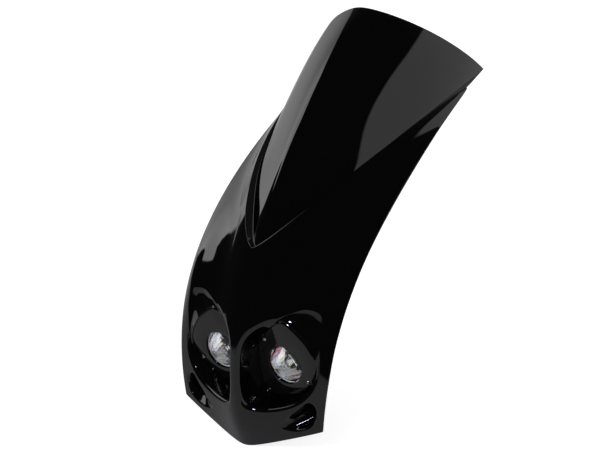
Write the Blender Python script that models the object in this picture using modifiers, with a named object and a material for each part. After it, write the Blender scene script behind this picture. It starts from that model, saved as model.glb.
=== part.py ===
# Twin-lamp front fairing for a motorcycle: a one-piece glass-fibre shell with two
# cat-eye lamp recesses, a stepped V-shaped screen form and two blind chin scoops,
# with a flat lamp plate and a 50 mm reflector lamp in each recess.
#
# Units are millimetres until a mesh is made. The shape is drawn about the lamps:
# X = 0 is the plane of symmetry, Y = 0 the front of the lamp plates (the front is -Y)
# and Z = 0 the height of the lamps. The finished part is moved so that the origin is
# at the middle of the bottom of its bounding box.

import math

import bmesh
import bpy
import numpy as np
from mathutils import Matrix, Vector
from mathutils.geometry import delaunay_2d_cdt

MM = 0.001
GAP = 0.3                  # kept between pieces that touch

# The lamps set the width: each X in the tables below is a share of the lamps' spacing
LAMP_RADIUS = 25.3
LAMPS_APART = 50.4               # between the rims of the two lamps
LAMP_SPACING = 2.0 * LAMP_RADIUS + LAMPS_APART

# Skin: control rows of the sweep, from the chin to the top edge. Each row gives the
# centreline (Y, Z), the side edge (X, Y, Z) and how much of a V the section is.
SKIN_ROWS = {
    "chin": ((-37.0, -103.5), (1.079, -16.5, -69.0), 0.95),
    "nose": ((-49.5, -60.5), (1.218, -5.0, 37.5), 0.94),
    "lamps": ((-55.5, -10.5), (1.297, 45.5, 126.0), 1.0),
    "brow": ((-34.5, 58.5), (1.307, 150.5, 184.0), 1.0),
    "screen_foot": ((27.0, 164.0), (1.282, 263.0, 223.0), 0.97),
    "screen": ((136.5, 287.0), (1.267, 340.0, 252.5), 0.47),
    "top": ((306.5, 369.0), (1.257, 396.5, 268.0), 0.27),
}
ARC_ANGLE = math.radians(79.6)   # half angle of the round share of a section
RIDGE_RADIUS = 14.0
SKIN_THICKNESS = 3.0

# Brow: a swelling over each lamp, largest at BROW_FULL of the half width
BROW_RISE = 19.0
BROW_FULL = 0.6
BROW_END = 0.92
BROW_HEIGHT = (0.44, -0.20)      # sweep position at the centreline, change to the side
BROW_SPREAD = 0.10

# Screen form: it starts at a V across the sweep and lies a step below the body
SCREEN_TIP = 0.602
SCREEN_SWEEP = (0.114, 0.171)
STEP_DEPTH = 6.0
STEP_DEPTH_SIDE = 0.9
STEP_FADE = (0.08, 0.42)         # shares of the half width between which the step gets shallow
STEP_SHARE = 0.0031              # the riser's length, as a share of the sweep

# Shoulder: the body swells along each branch of the V, which makes the step deeper there
SHOULDER_RISE = 5.5
SHOULDER_START = 0.22            # full from here, as a share of the half width
SHOULDER_FADE = (0.42, 0.62)
SHOULDER_SPREAD = 0.08

# Lamp recess: stations round the opening. Each gives the rim (X, Z), the edge of the
# lamp plate (X, Z), the radius of the rolled rim and the hollow of the wall between.
RECESS_STATIONS = {
    "chin_ridge": ((0.134, -43.0), (0.163, -38.0), 5.0, 0.0),
    "ridge_low": ((0.079, -24.0), (0.107, -22.0), 5.5, 0.0),
    "ridge": ((0.072, 2.0), (0.104, 0.0), 5.5, 0.0),
    "ridge_high": ((0.084, 28.0), (0.129, 19.0), 5.5, 0.0),
    "brow_start": ((0.149, 44.5), (0.213, 32.5), 5.0, 0.0),
    "brow_low": ((0.277, 54.5), (0.312, 43.5), 4.5, 0.0),
    "brow_mid": ((0.426, 62.0), (0.426, 53.0), 4.5, 1.0),
    "brow_high": ((0.614, 69.5), (0.545, 56.5), 4.5, 2.0),
    "brow_peak": ((0.822, 76.0), (0.693, 47.5), 4.5, 5.0),
    "brow_tip": ((1.010, 72.0), (0.812, 37.0), 3.5, 5.0),
    "side_high": ((1.069, 54.0), (0.881, 28.0), 3.5, 4.0),
    "side": ((1.050, 34.0), (0.931, 18.5), 4.0, 2.5),
    "side_low": ((1.025, 13.0), (0.960, 7.0), 4.0, 1.0),
    "cheek": ((0.995, -7.0), (0.931, -4.5), 4.0, 0.0),
    "cheek_low": ((0.911, -23.0), (0.847, -17.5), 4.0, 0.0),
    "chin_outer": ((0.767, -36.0), (0.708, -30.5), 4.5, 0.0),
    "chin_mid": ((0.554, -44.5), (0.525, -39.5), 5.0, 0.0),
    "chin_inner": ((0.327, -47.8), (0.327, -43.5), 5.0, 0.0),
}
LIP_HEIGHT = 1.0                 # the rim round the plate stands this far in front of it
LIP_RADIUS = 1.2
SEAT_WIDTH = 5.0

# Chin scoop: stations round its mouth. Each gives the rim (X, Z), the floor (X, Z),
# the depth of the floor below the rim along Y and the radius of the rim.
SCOOP_STATIONS = {
    "tip": ((0.525, -69.0), (0.604, -67.5), 4.0, 1.2),
    "inner": ((0.649, -55.0), (0.713, -59.0), 10.0, 1.8),
    "brow": ((0.782, -44.0), (0.797, -51.5), 17.0, 2.5),
    "peak": ((0.901, -34.5), (0.871, -44.5), 24.0, 3.5),
    "outer_high": ((0.985, -38.5), (0.911, -46.5), 24.0, 3.5),
    "outer": ((1.005, -49.0), (0.926, -52.0), 22.0, 3.5),
    "outer_low": ((0.955, -61.0), (0.901, -58.0), 19.0, 3.0),
    "foot": ((0.842, -69.0), (0.822, -63.5), 13.0, 2.5),
    "foot_inner": ((0.673, -73.0), (0.703, -67.0), 7.0, 1.8),
}

# Lamp plate and its fixings
PLATE_THICKNESS = 2.0
LAMP_SEAT = 0.8                  # the plate covers this much of the lamp's rim
LAMP_HOLE_RADIUS = LAMP_RADIUS - LAMP_SEAT
PLATE_SCREWS = ("brow_start", "cheek_low")   # stations that the screws sit beside
SCREW_INSET = 3.2
SCREW_RADIUS = 1.5
SCREW_HEAD_RADIUS = 2.6
SCREW_HEAD_HEIGHT = 1.5
SCREW_CLEARANCE = 0.35
NUT_RADIUS = 3.1
NUT_HEIGHT = 2.2
SCREW_PROUD = 1.5                # of the screw beyond the nut

# Lamp: a 50 mm dichroic reflector lamp with a two-pin base
LAMP_RIM_DEPTH = 3.2
LAMP_RIM_WALL = 1.3
REFLECTOR_DEPTH = 30.0
REFLECTOR_WALL = 1.6
NECK_RADIUS = 8.5
NECK_LENGTH = 6.0
THROAT_CLEARANCE = 0.8           # round the bulb capsule in the neck
GLASS_THICKNESS = 1.4
GLASS_EDGE = 0.4
CAPSULE_RADIUS = 4.5
CAPSULE_LENGTH = 20.0
CAPSULE_END = 0.5                # the capsule stops this far inside the neck
BASE_RADIUS = 11.5
BASE_LENGTH = 14.0
BASE_COLLAR = 5.0                # of the base's length round the neck
BASE_EDGE = 1.0
PIN_RADIUS = 0.75
PIN_SPACING = 5.3
PIN_LENGTH = 7.0
PIN_ROOT = 2.0                   # of each pin inside the base
HOLDER_RADIUS = 9.5
HOLDER_LENGTH = 14.0
HOLDER_EDGE = 0.8
HOLDER_TAPER = 2.0

# Retaining ring behind the plate and its three screws
RING_WALL = 4.3
RING_RADIUS = LAMP_RADIUS + RING_WALL
RING_DEPTH = 5.0
RING_LIP = 0.9                   # reach of the ring behind the lamp's rim
RING_SCREW_OFFSET = 2.4          # of the screws' circle beyond the lamp's rim
RING_SCREW_CIRCLE = LAMP_RADIUS + RING_SCREW_OFFSET
RING_SCREW_RADIUS = 1.0
RING_SCREW_BITE = 1.4            # depth of the screw in the plate
RING_SCREW_HEAD_RADIUS = 1.8
RING_SCREW_HEAD_HEIGHT = 1.2
RING_SCREW_EDGE = 0.3

# Bonded fixing bosses on the inside: sweep position and share of the half width
FIXING_PLACES = {"lower": (0.43, 0.70), "upper": (0.68, 0.66)}
BOSS_RADIUS = 11.0
BOSS_HEIGHT = 11.0
BOSS_THREAD_RADIUS = 3.0
BOSS_THREAD_DEPTH = 8.0
BOND_LINE = 0.6                  # left for the adhesive between skin and boss

# Mesh density
SWEEP_CELLS = 16
SCREEN_CELLS = 8
SECTION_CELLS = 13
RECESS_SEGMENTS = 38
SCOOP_SEGMENTS = 18
ROUND_SEGMENTS = 24
RIM_STEPS = 3
SMALL_SEGMENTS = 12
WELD = 0.02                      # mesh points closer than this are one

MATERIALS = {
    "black_gelcoat": ((0.006, 0.006, 0.007), 0.06, 0.0),
    "black_plate": ((0.012, 0.012, 0.013), 0.10, 0.0),
    "dichroic_glass": ((0.72, 0.74, 0.78), 0.05, 0.6),
    "clear_glass": ((0.85, 0.87, 0.88), 0.02, 0.0),
    "quartz": ((0.80, 0.82, 0.84), 0.03, 0.0),
    "steatite": ((0.75, 0.72, 0.65), 0.60, 0.0),
    "nickel_steel": ((0.62, 0.61, 0.58), 0.28, 1.0),
    "zinc_steel": ((0.55, 0.55, 0.56), 0.35, 1.0),
    "black_nylon": ((0.02, 0.02, 0.02), 0.50, 0.0),
    "filled_resin": ((0.20, 0.21, 0.20), 0.70, 0.0),
}


def smooth(edge0, edge1, value):
    x = np.clip((value - edge0) / (edge1 - edge0), 0.0, 1.0)
    return x * x * (3.0 - 2.0 * x)


# The skin as a surface

def sweep_weights(s):
    degree = len(SKIN_ROWS) - 1
    index = np.arange(degree + 1)
    binomial = np.array([math.comb(degree, k) for k in index])
    s = np.asarray(s, float)[..., None]
    return binomial * s ** index * (1.0 - s) ** (degree - index)


def plain_skin(s, t):
    """Point of the swept skin: s runs from chin to top edge, t from side to side."""
    weights = sweep_weights(s)
    rows = list(SKIN_ROWS.values())
    centre = weights @ np.array([row[0] for row in rows])
    edge = weights @ np.array([row[1] for row in rows])
    vee = weights @ np.array([row[2] for row in rows])
    width = edge[..., 0] * LAMP_SPACING
    x = width * np.sin(ARC_ANGLE * t) / math.sin(ARC_ANGLE)
    arc = (1.0 - np.cos(ARC_ANGLE * t)) / (1.0 - math.cos(ARC_ANGLE))
    ridge = np.hypot(x, RIDGE_RADIUS) - RIDGE_RADIUS
    ridge = ridge / (np.hypot(width, RIDGE_RADIUS) - RIDGE_RADIUS)
    depth = (1.0 - vee) * arc + vee * ridge
    y = centre[..., 0] + depth * (edge[..., 1] - centre[..., 0])
    z = centre[..., 1] + depth * (edge[..., 2] - centre[..., 1])
    return np.stack([x, y, z], axis=-1)


def normal_of(surface, s, t, step=1e-3):
    along = surface(s + step, t) - surface(s - step, t)
    across = surface(s, t + step) - surface(s, t - step)
    normal = np.cross(across, along)
    return normal / np.linalg.norm(normal, axis=-1, keepdims=True)


def brow_height(s, t):
    across = np.abs(t)
    amount = smooth(0.0, BROW_FULL, across) * (1.0 - smooth(BROW_FULL, BROW_END, across))
    line = BROW_HEIGHT[0] + BROW_HEIGHT[1] * across
    return BROW_RISE * amount * np.exp(-((s - line) / BROW_SPREAD) ** 2)


def screen_line(t):
    across = np.abs(t)
    return SCREEN_TIP + SCREEN_SWEEP[0] * across + SCREEN_SWEEP[1] * across ** 2


def shoulder_height(s, t):
    across = np.abs(t)
    amount = smooth(0.0, SHOULDER_START, across) * (1.0 - smooth(*SHOULDER_FADE, across))
    return SHOULDER_RISE * amount * np.exp(-((s - screen_line(t)) / SHOULDER_SPREAD) ** 2)


def browed_skin(s, t):
    s = np.asarray(s, float)
    t = np.asarray(t, float)
    return plain_skin(s, t) + brow_height(s, t)[..., None] * normal_of(plain_skin, s, t)


def body_skin(s, t):
    s = np.asarray(s, float)
    t = np.asarray(t, float)
    rise = (brow_height(s, t) + shoulder_height(s, t))[..., None]
    return plain_skin(s, t) + rise * normal_of(plain_skin, s, t)


def step_depth(t):
    return STEP_DEPTH + (STEP_DEPTH_SIDE - STEP_DEPTH) * smooth(*STEP_FADE, np.abs(t))


def screen_skin(share, t):
    """Point of the screen form: share runs from the foot of the step to the top edge."""
    foot = screen_line(t) + STEP_SHARE
    s = foot + share * (1.0 - foot)
    depth = step_depth(t) * (1.0 - smooth(0.0, 0.7, share))
    return browed_skin(s, t) - depth[..., None] * normal_of(browed_skin, s, t)


def locate(x, z):
    """Sweep coordinates of the skin points seen from the front at (x, z), x >= 0."""
    grid_s, grid_t = np.meshgrid(np.linspace(0, 1, 81), np.linspace(0, 1, 41), indexing="ij")
    grid_s = grid_s.ravel()
    grid_t = grid_t.ravel()
    grid = body_skin(grid_s, grid_t)
    distance = np.hypot(grid[:, 0] - x[:, None], grid[:, 2] - z[:, None])
    nearest = distance.argmin(axis=1)
    s = grid_s[nearest]
    t = grid_t[nearest]
    step = 1e-4
    for _ in range(12):
        point = body_skin(s, t)
        along = (body_skin(s + step, t) - point) / step
        across = (body_skin(s, t + step) - point) / step
        miss_x = x - point[:, 0]
        miss_z = z - point[:, 2]
        scale = along[:, 0] * across[:, 2] - along[:, 2] * across[:, 0]
        s = s + (miss_x * across[:, 2] - miss_z * across[:, 0]) / scale
        t = t + (along[:, 0] * miss_z - along[:, 2] * miss_x) / scale
    return s, t


# Rings of points round the recesses and scoops

def closed_curve(points, count):
    """Even samples of a smooth closed curve through the rows of points."""
    points = np.asarray(points, float)
    steps = 40
    u = np.linspace(0.0, 1.0, steps, endpoint=False)[:, None]
    dense = []
    for i in range(len(points)):
        a, b, c, d = (points[(i + k) % len(points)] for k in (-1, 0, 1, 2))
        dense.append(b + 0.5 * u * (c - a + u * (2 * a - 5 * b + 4 * c - d + u * (3 * (b - c) + d - a))))
    dense = np.concatenate(dense)
    looped = np.vstack([dense, dense[:1]])
    length = np.r_[0.0, np.cumsum(np.hypot(*np.diff(looped[:, :2], axis=0).T))]
    place = np.linspace(0.0, length[-1], count, endpoint=False)
    return np.stack([np.interp(place, length, column) for column in looped.T], axis=1)


def outward(curve):
    """Outward unit normals of a clockwise closed curve seen from the front."""
    along = np.roll(curve, -1, axis=0) - np.roll(curve, 1, axis=0)
    normal = np.stack([-along[:, 1], along[:, 0]], axis=1)
    return normal / np.linalg.norm(normal, axis=1, keepdims=True)


def bend(start, corner, end, count):
    """Rows of a rounded corner from start to end."""
    rows = []
    for u in np.linspace(0.0, 1.0, count + 1):
        rows.append((1 - u) ** 2 * start + 2 * u * (1 - u) * corner + u * u * end)
    return rows


def toward(start, end, distance):
    span = end - start
    length = np.linalg.norm(span, axis=1)
    share = np.minimum(distance / length, 0.45)
    return start + span * share[:, None]


def rim_rows(rim, radius, target):
    """The rolled rim from the skin down toward target, and where it left the skin."""
    start_xz = rim + outward(rim) * radius[:, None]
    s, t = locate(start_xz[:, 0], start_xz[:, 1])
    start = body_skin(s, t)
    corner = body_skin(*locate(rim[:, 0], rim[:, 1]))
    rows = bend(start, corner, toward(corner, target, radius), RIM_STEPS)
    return rows, np.stack([s, t], axis=1)


def lift(xz, y):
    return np.stack([xz[:, 0], np.broadcast_to(y, len(xz)), xz[:, 1]], axis=1)


def station_curves(stations, count):
    """The four columns of a table of stations as smooth closed curves."""
    table = np.array([first + second + (third, fourth)
                      for first, second, third, fourth in stations.values()])
    table[:, (0, 2)] *= LAMP_SPACING
    ring = closed_curve(table, count)
    return ring[:, 0:2], ring[:, 2:4], ring[:, 4], ring[:, 5]


def recess_rows(count):
    rim, plate, radius, hollow = station_curves(RECESS_STATIONS, count)
    lip = lift(plate, -LIP_HEIGHT)
    rows, start = rim_rows(rim, radius, lip)
    lip_start = toward(lip, rows[-1], np.full(count, LIP_RADIUS))
    wall_top = rows[-1]
    for share in (1 / 3, 2 / 3):
        row = wall_top + (lip_start - wall_top) * share
        row[:, 1] += hollow * math.sin(math.pi * share)
        rows.append(row)
    rows += bend(lip_start, lip, lift(plate, LIP_RADIUS - LIP_HEIGHT), 2)
    rows.append(lift(plate, PLATE_THICKNESS + GAP))
    lamp = np.array([LAMP_SPACING / 2, 0.0])
    seat = toward(plate, np.broadcast_to(lamp, plate.shape), np.full(count, SEAT_WIDTH))
    rows.append(lift(seat, PLATE_THICKNESS + GAP))
    return rows, start


def scoop_rows(count):
    rim, floor, depth, radius = station_curves(SCOOP_STATIONS, count)
    corner = body_skin(*locate(rim[:, 0], rim[:, 1]))
    bottom = lift(floor, corner[:, 1] + depth)
    rows, start = rim_rows(rim, radius, bottom)
    centre = bottom.mean(axis=0)
    inner = bottom + (centre - bottom) * 0.25
    rows += bend(toward(bottom, rows[-1], np.full(count, 2.5)), bottom, inner, 2)
    rows.append(bottom + (centre - bottom) * 0.65)
    return rows, start


# Mesh helpers

def material(name):
    found = bpy.data.materials.get(name)
    if found:
        return found
    colour, roughness, metallic = MATERIALS[name]
    made = bpy.data.materials.new(name)
    made.use_nodes = True
    shader = made.node_tree.nodes["Principled BSDF"]
    shader.inputs["Base Color"].default_value = (*colour, 1.0)
    shader.inputs["Roughness"].default_value = roughness
    shader.inputs["Metallic"].default_value = metallic
    made.diffuse_color = (*colour, 1.0)
    return made


def add_object(name, mesh, material_name, collection):
    made = bpy.data.objects.new(name, mesh)
    if material_name:
        mesh.materials.append(material(material_name))
    collection.objects.link(made)
    return made


def apply_modifiers(target):
    """Replace the object's mesh by the result of its modifiers."""
    bpy.context.view_layer.update()
    depsgraph = bpy.context.evaluated_depsgraph_get()
    result = bpy.data.meshes.new_from_object(target.evaluated_get(depsgraph))
    old = target.data
    target.modifiers.clear()
    target.data = result
    bpy.data.meshes.remove(old)


def face_outward(mesh):
    frame = bmesh.new()
    frame.from_mesh(mesh)
    bmesh.ops.recalc_face_normals(frame, faces=frame.faces)
    frame.to_mesh(mesh)
    frame.free()


def shade_smooth(mesh, angle=math.radians(40)):
    mesh.shade_smooth()
    mesh.set_sharp_from_angle(angle=angle)


def turned(name, profile, material_name, collection, segments=ROUND_SEGMENTS):
    """A turned piece: profile points (radius, height) run down the outer side."""
    mesh = bpy.data.meshes.new(name)
    points = [(radius * MM, 0.0, height * MM) for radius, height in profile]
    open_ends = profile[0][0] == 0.0 and profile[-1][0] == 0.0
    edges = [(i, i + 1) for i in range(len(points) - 1)]
    if not open_ends:
        edges.append((len(points) - 1, 0))
    mesh.from_pydata(points, edges, [])
    piece = add_object(name, mesh, material_name, collection)
    screw = piece.modifiers.new("turn", "SCREW")
    screw.steps = segments
    screw.render_steps = segments
    screw.use_merge_vertices = True
    screw.merge_threshold = 0.00001
    apply_modifiers(piece)
    face_outward(piece.data)
    shade_smooth(piece.data)
    return piece


def prism(name, outline, low, high, material_name, collection):
    """A straight prism on an outline (x, y), from height low to height high."""
    frame = bmesh.new()
    verts = [frame.verts.new((x * MM, y * MM, low * MM)) for x, y in outline]
    face = frame.faces.new(verts)
    grown = bmesh.ops.extrude_face_region(frame, geom=[face])["geom"]
    moved = [item for item in grown if isinstance(item, bmesh.types.BMVert)]
    bmesh.ops.translate(frame, verts=moved, vec=(0.0, 0.0, (high - low) * MM))
    bmesh.ops.recalc_face_normals(frame, faces=frame.faces)
    mesh = bpy.data.meshes.new(name)
    frame.to_mesh(mesh)
    frame.free()
    return add_object(name, mesh, material_name, collection)


def circle(radius, segments, centre=(0.0, 0.0)):
    angles = [2.0 * math.pi * i / segments for i in range(segments)]
    return [(centre[0] + radius * math.cos(a), centre[1] + radius * math.sin(a)) for a in angles]


def cut(target, cutter):
    """Subtract the cutter and drop it."""
    boolean = target.modifiers.new("cut", "BOOLEAN")
    boolean.operation = "DIFFERENCE"
    boolean.solver = "EXACT"
    boolean.object = cutter
    apply_modifiers(target)
    mesh = cutter.data
    bpy.data.objects.remove(cutter)
    bpy.data.meshes.remove(mesh)


def cut_holes(target, centres, radius, low, high, collection, segments=SMALL_SEGMENTS):
    for centre in centres:
        outline = circle(radius, segments, centre)
        cutter = prism(target.name + "_cutter", outline, low, high, None, collection)
        cutter.matrix_world = target.matrix_world
        cut(target, cutter)


# The moulded shell

def inside(points, polygon):
    x, y = points[:, 0, None], points[:, 1, None]
    ax, ay = polygon.T
    bx, by = np.roll(polygon, -1, axis=0).T
    rising = np.where(by == ay, 1.0, by - ay)
    crossing = ((ay > y) != (by > y)) & (x < (bx - ax) * (y - ay) / rising + ax)
    return crossing.sum(axis=1) % 2 == 1


def body_patch(holes):
    """Triangles of half the body below the screen line, with holes as (s, t) loops.

    The patch is laid out flat: across the section by t and along it by the share of
    the way from the bottom edge to the screen line, both scaled to about real size.
    """
    scale = np.array([120.0, 330.0])
    across = np.linspace(0.0, 1.0, SECTION_CELLS + 1)
    along = np.linspace(0.0, 1.0, SWEEP_CELLS + 1)
    loops = [np.stack([t, s / screen_line(t)], axis=1) * scale for s, t in holes]
    t, share = (values.ravel() for values in np.meshgrid(across, along))
    points = np.stack([t, share], axis=1) * scale
    border = (t == 0.0) | (t == 1.0) | (share == 0.0) | (share == 1.0)
    keep = np.ones(len(points), bool)
    spacing = scale[0] / SECTION_CELLS
    for loop in loops:
        near = np.linalg.norm(points[:, None] - loop[None], axis=2).min(axis=1) < 0.45 * spacing
        keep &= ~(inside(points, loop) | (near & ~border))
    points = points[keep]
    edges = []
    for loop in loops:
        first = len(points)
        points = np.vstack([points, loop])
        edges += [(first + i, first + (i + 1) % len(loop)) for i in range(len(loop))]
    flat, _, faces, _, _, _ = delaunay_2d_cdt([Vector(p) for p in points], edges, [], 0, 1e-6)
    flat = np.array([tuple(p) for p in flat])
    faces = np.array(faces)
    middle = flat[faces].mean(axis=1)
    in_hole = np.zeros(len(faces), bool)
    for loop in loops:
        in_hole |= inside(middle, loop)
    t, share = (flat / scale).T
    return body_skin(share * screen_line(t), t), faces[~in_hole]


def grid_faces(rows, columns, closed):
    last = columns if closed else columns - 1
    return [(r * columns + c, r * columns + (c + 1) % columns,
             (r + 1) * columns + (c + 1) % columns, (r + 1) * columns + c)
            for r in range(rows - 1) for c in range(last)]


def build_shell(collection):
    frame = bmesh.new()

    def add_patch(points, faces):
        verts = [frame.verts.new(point * MM) for point in points]
        for face in faces:
            frame.faces.new([verts[i] for i in face])
        return verts

    holes = []
    for make_rows, count in ((recess_rows, RECESS_SEGMENTS), (scoop_rows, SCOOP_SEGMENTS)):
        rows, start = make_rows(count)
        verts = add_patch(np.concatenate(rows), grid_faces(len(rows), count, True))
        if make_rows is scoop_rows:
            frame.faces.new(verts[-count:])
        holes.append((start[:, 0], start[:, 1]))
    add_patch(*body_patch(holes))
    across = np.linspace(0.0, 1.0, SECTION_CELLS + 1)
    screen = [body_skin(screen_line(across), across)]
    screen += [screen_skin(share, across) for share in np.linspace(0.0, 1.0, SCREEN_CELLS + 1)]
    add_patch(np.concatenate(screen), grid_faces(len(screen), len(across), False))
    half = frame.verts[:] + frame.edges[:] + frame.faces[:]
    bmesh.ops.mirror(frame, geom=half, axis="X", merge_dist=WELD * MM)
    bmesh.ops.remove_doubles(frame, verts=frame.verts, dist=WELD * MM)
    bmesh.ops.recalc_face_normals(frame, faces=frame.faces)
    foremost = min(frame.faces, key=lambda face: face.calc_center_median().y)
    if foremost.normal.y > 0.0:
        bmesh.ops.reverse_faces(frame, faces=frame.faces)
    mesh = bpy.data.meshes.new("fairing_shell")
    frame.to_mesh(mesh)
    frame.free()
    shell = add_object("fairing_shell", mesh, "black_gelcoat", collection)
    skin = shell.modifiers.new("skin", "SOLIDIFY")
    skin.thickness = SKIN_THICKNESS * MM
    skin.offset = -1.0
    skin.use_even_offset = False
    apply_modifiers(shell)
    shade_smooth(shell.data)
    return shell


# Lamps, plates and fixings

def screw_places():
    """Plate screw centres (X, Z) for the right-hand plate, from the lamp plate stations."""
    lamp = np.array([[LAMP_SPACING / 2, 0.0]])
    places = []
    for name in PLATE_SCREWS:
        edge = np.array([RECESS_STATIONS[name][1]]) * (LAMP_SPACING, 1.0)
        places.append(toward(edge, lamp, SCREW_INSET)[0])
    return places


def plate_outline():
    plate = station_curves(RECESS_STATIONS, RECESS_SEGMENTS)[1]
    return plate - outward(plate) * GAP


def build_plate(name, collection, places):
    """A lamp plate, drawn with its lamp hole about the origin, front face at height 0."""
    outline = plate_outline() - (LAMP_SPACING / 2, 0.0)
    plate = prism(name, outline, -PLATE_THICKNESS, 0.0, "black_plate", collection)
    deep = (-PLATE_THICKNESS - 1.0, 1.0)
    cut_holes(plate, [(0.0, 0.0)], LAMP_HOLE_RADIUS, *deep, collection, ROUND_SEGMENTS)
    cut_holes(plate, places, SCREW_RADIUS + SCREW_CLEARANCE, *deep, collection)
    ring_screws = circle(RING_SCREW_CIRCLE, 3)
    bottom = -PLATE_THICKNESS + RING_SCREW_BITE
    cut_holes(plate, ring_screws, RING_SCREW_RADIUS + GAP, deep[0], bottom, collection)
    return plate


def reflector_profile():
    front = -PLATE_THICKNESS - GAP
    back = front - REFLECTOR_DEPTH
    glass_seat = front - GLASS_THICKNESS - GAP
    outer = [(LAMP_RADIUS, front), (LAMP_RADIUS, front - LAMP_RIM_DEPTH)]
    inner = []
    steps = 6
    dish_top = front - LAMP_RIM_DEPTH
    bowl = LAMP_RADIUS - LAMP_RIM_WALL
    mouth = bowl - REFLECTOR_WALL
    throat = CAPSULE_RADIUS + THROAT_CLEARANCE
    for i in range(steps + 1):
        a = 0.5 * math.pi * i / steps
        share = 1.0 - math.cos(a)
        radius = bowl + (NECK_RADIUS - bowl) * share
        outer.append((radius, dish_top + (back - dish_top) * math.sin(a)))
        inner.append((mouth + (throat - mouth) * share,
                      glass_seat + (back + REFLECTOR_WALL - glass_seat) * math.sin(a)))
    outer.append((NECK_RADIUS, back - NECK_LENGTH))
    inner.append((throat, back - NECK_LENGTH))
    return outer + inner[::-1] + [(bowl, glass_seat), (bowl, front)]


def lamp_levels():
    """Heights of the lamp's main faces along its axis, the plate's front at 0."""
    front = -PLATE_THICKNESS - GAP
    neck_end = front - REFLECTOR_DEPTH - NECK_LENGTH
    base_front = neck_end + BASE_COLLAR
    base_back = base_front - BASE_LENGTH
    holder_front = base_back - GAP
    return front, neck_end, base_front, base_back, holder_front


def build_lamp(side, collection):
    front, neck_end, base_front, base_back, holder_front = lamp_levels()
    pieces = [turned(side + "_reflector", reflector_profile(), "dichroic_glass", collection)]

    glass_radius = LAMP_RADIUS - LAMP_RIM_WALL - GAP
    glass_back = front - GLASS_THICKNESS
    glass = [(0.0, front), (glass_radius - GLASS_EDGE, front), (glass_radius, front - GLASS_EDGE),
             (glass_radius, glass_back), (0.0, glass_back)]
    pieces.append(turned(side + "_front_glass", glass, "clear_glass", collection))

    capsule_back = neck_end + CAPSULE_END
    tip = capsule_back + CAPSULE_LENGTH + CAPSULE_RADIUS
    steps = 5
    capsule = []
    for i in range(steps + 1):
        a = 0.5 * math.pi * i / steps
        capsule.append((CAPSULE_RADIUS * math.sin(a), tip - CAPSULE_RADIUS * (1.0 - math.cos(a))))
    capsule += [(CAPSULE_RADIUS, capsule_back), (0.0, capsule_back)]
    pieces.append(turned(side + "_bulb_capsule", capsule, "quartz", collection))

    bore = NECK_RADIUS + GAP
    base = [(0.0, neck_end - GAP), (bore, neck_end - GAP), (bore, base_front),
            (BASE_RADIUS, base_front), (BASE_RADIUS, base_back + BASE_EDGE),
            (BASE_RADIUS - BASE_EDGE, base_back), (0.0, base_back)]
    base_piece = turned(side + "_lamp_base", base, "steatite", collection)
    pin_places = ((-PIN_SPACING / 2, 0.0), (PIN_SPACING / 2, 0.0))
    pin_bore = PIN_RADIUS + GAP
    cut_holes(base_piece, pin_places, pin_bore, base_back - 1.0, base_back + PIN_ROOT, collection)
    pieces.append(base_piece)
    pin_top = base_back + PIN_ROOT - GAP
    for label, place in zip("ab", pin_places):
        pieces.append(prism(side + "_pin_" + label, circle(PIN_RADIUS, SMALL_SEGMENTS, place),
                            base_back - PIN_LENGTH, pin_top, "nickel_steel", collection))

    holder_back = holder_front - HOLDER_LENGTH
    holder = [(0.0, holder_front), (HOLDER_RADIUS - HOLDER_EDGE, holder_front),
              (HOLDER_RADIUS, holder_front - HOLDER_EDGE),
              (HOLDER_RADIUS, holder_back + HOLDER_TAPER),
              (HOLDER_RADIUS - HOLDER_TAPER, holder_back), (0.0, holder_back)]
    holder_piece = turned(side + "_lamp_holder", holder, "steatite", collection)
    cut_holes(holder_piece, pin_places, pin_bore, base_back - PIN_LENGTH - GAP,
              holder_front + 1.0, collection)
    pieces.append(holder_piece)

    ring_back = front - RING_DEPTH
    lip_front = front - LAMP_RIM_DEPTH - GAP
    ring = [(LAMP_RADIUS + GAP, front), (RING_RADIUS, front), (RING_RADIUS, ring_back),
            (LAMP_RADIUS - RING_LIP, ring_back), (LAMP_RADIUS - RING_LIP, lip_front),
            (LAMP_RADIUS + GAP, lip_front)]
    ring_piece = turned(side + "_retaining_ring", ring, "black_nylon", collection)
    places = circle(RING_SCREW_CIRCLE, 3)
    cut_holes(ring_piece, places, RING_SCREW_RADIUS + GAP, ring_back - 1.0, front + 1.0,
              collection)
    pieces.append(ring_piece)
    screw_top = -PLATE_THICKNESS + RING_SCREW_BITE - GAP
    under_head = ring_back - GAP
    screw_end = under_head - RING_SCREW_HEAD_HEIGHT
    screw = [(0.0, screw_top), (RING_SCREW_RADIUS, screw_top), (RING_SCREW_RADIUS, under_head),
             (RING_SCREW_HEAD_RADIUS, under_head),
             (RING_SCREW_HEAD_RADIUS - RING_SCREW_EDGE, screw_end), (0.0, screw_end)]
    for label, place in zip("abc", places):
        piece = turned(side + "_ring_screw_" + label, screw, "zinc_steel", collection,
                       SMALL_SEGMENTS)
        piece.location = (place[0] * MM, place[1] * MM, 0.0)
        pieces.append(piece)
    return pieces


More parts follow.
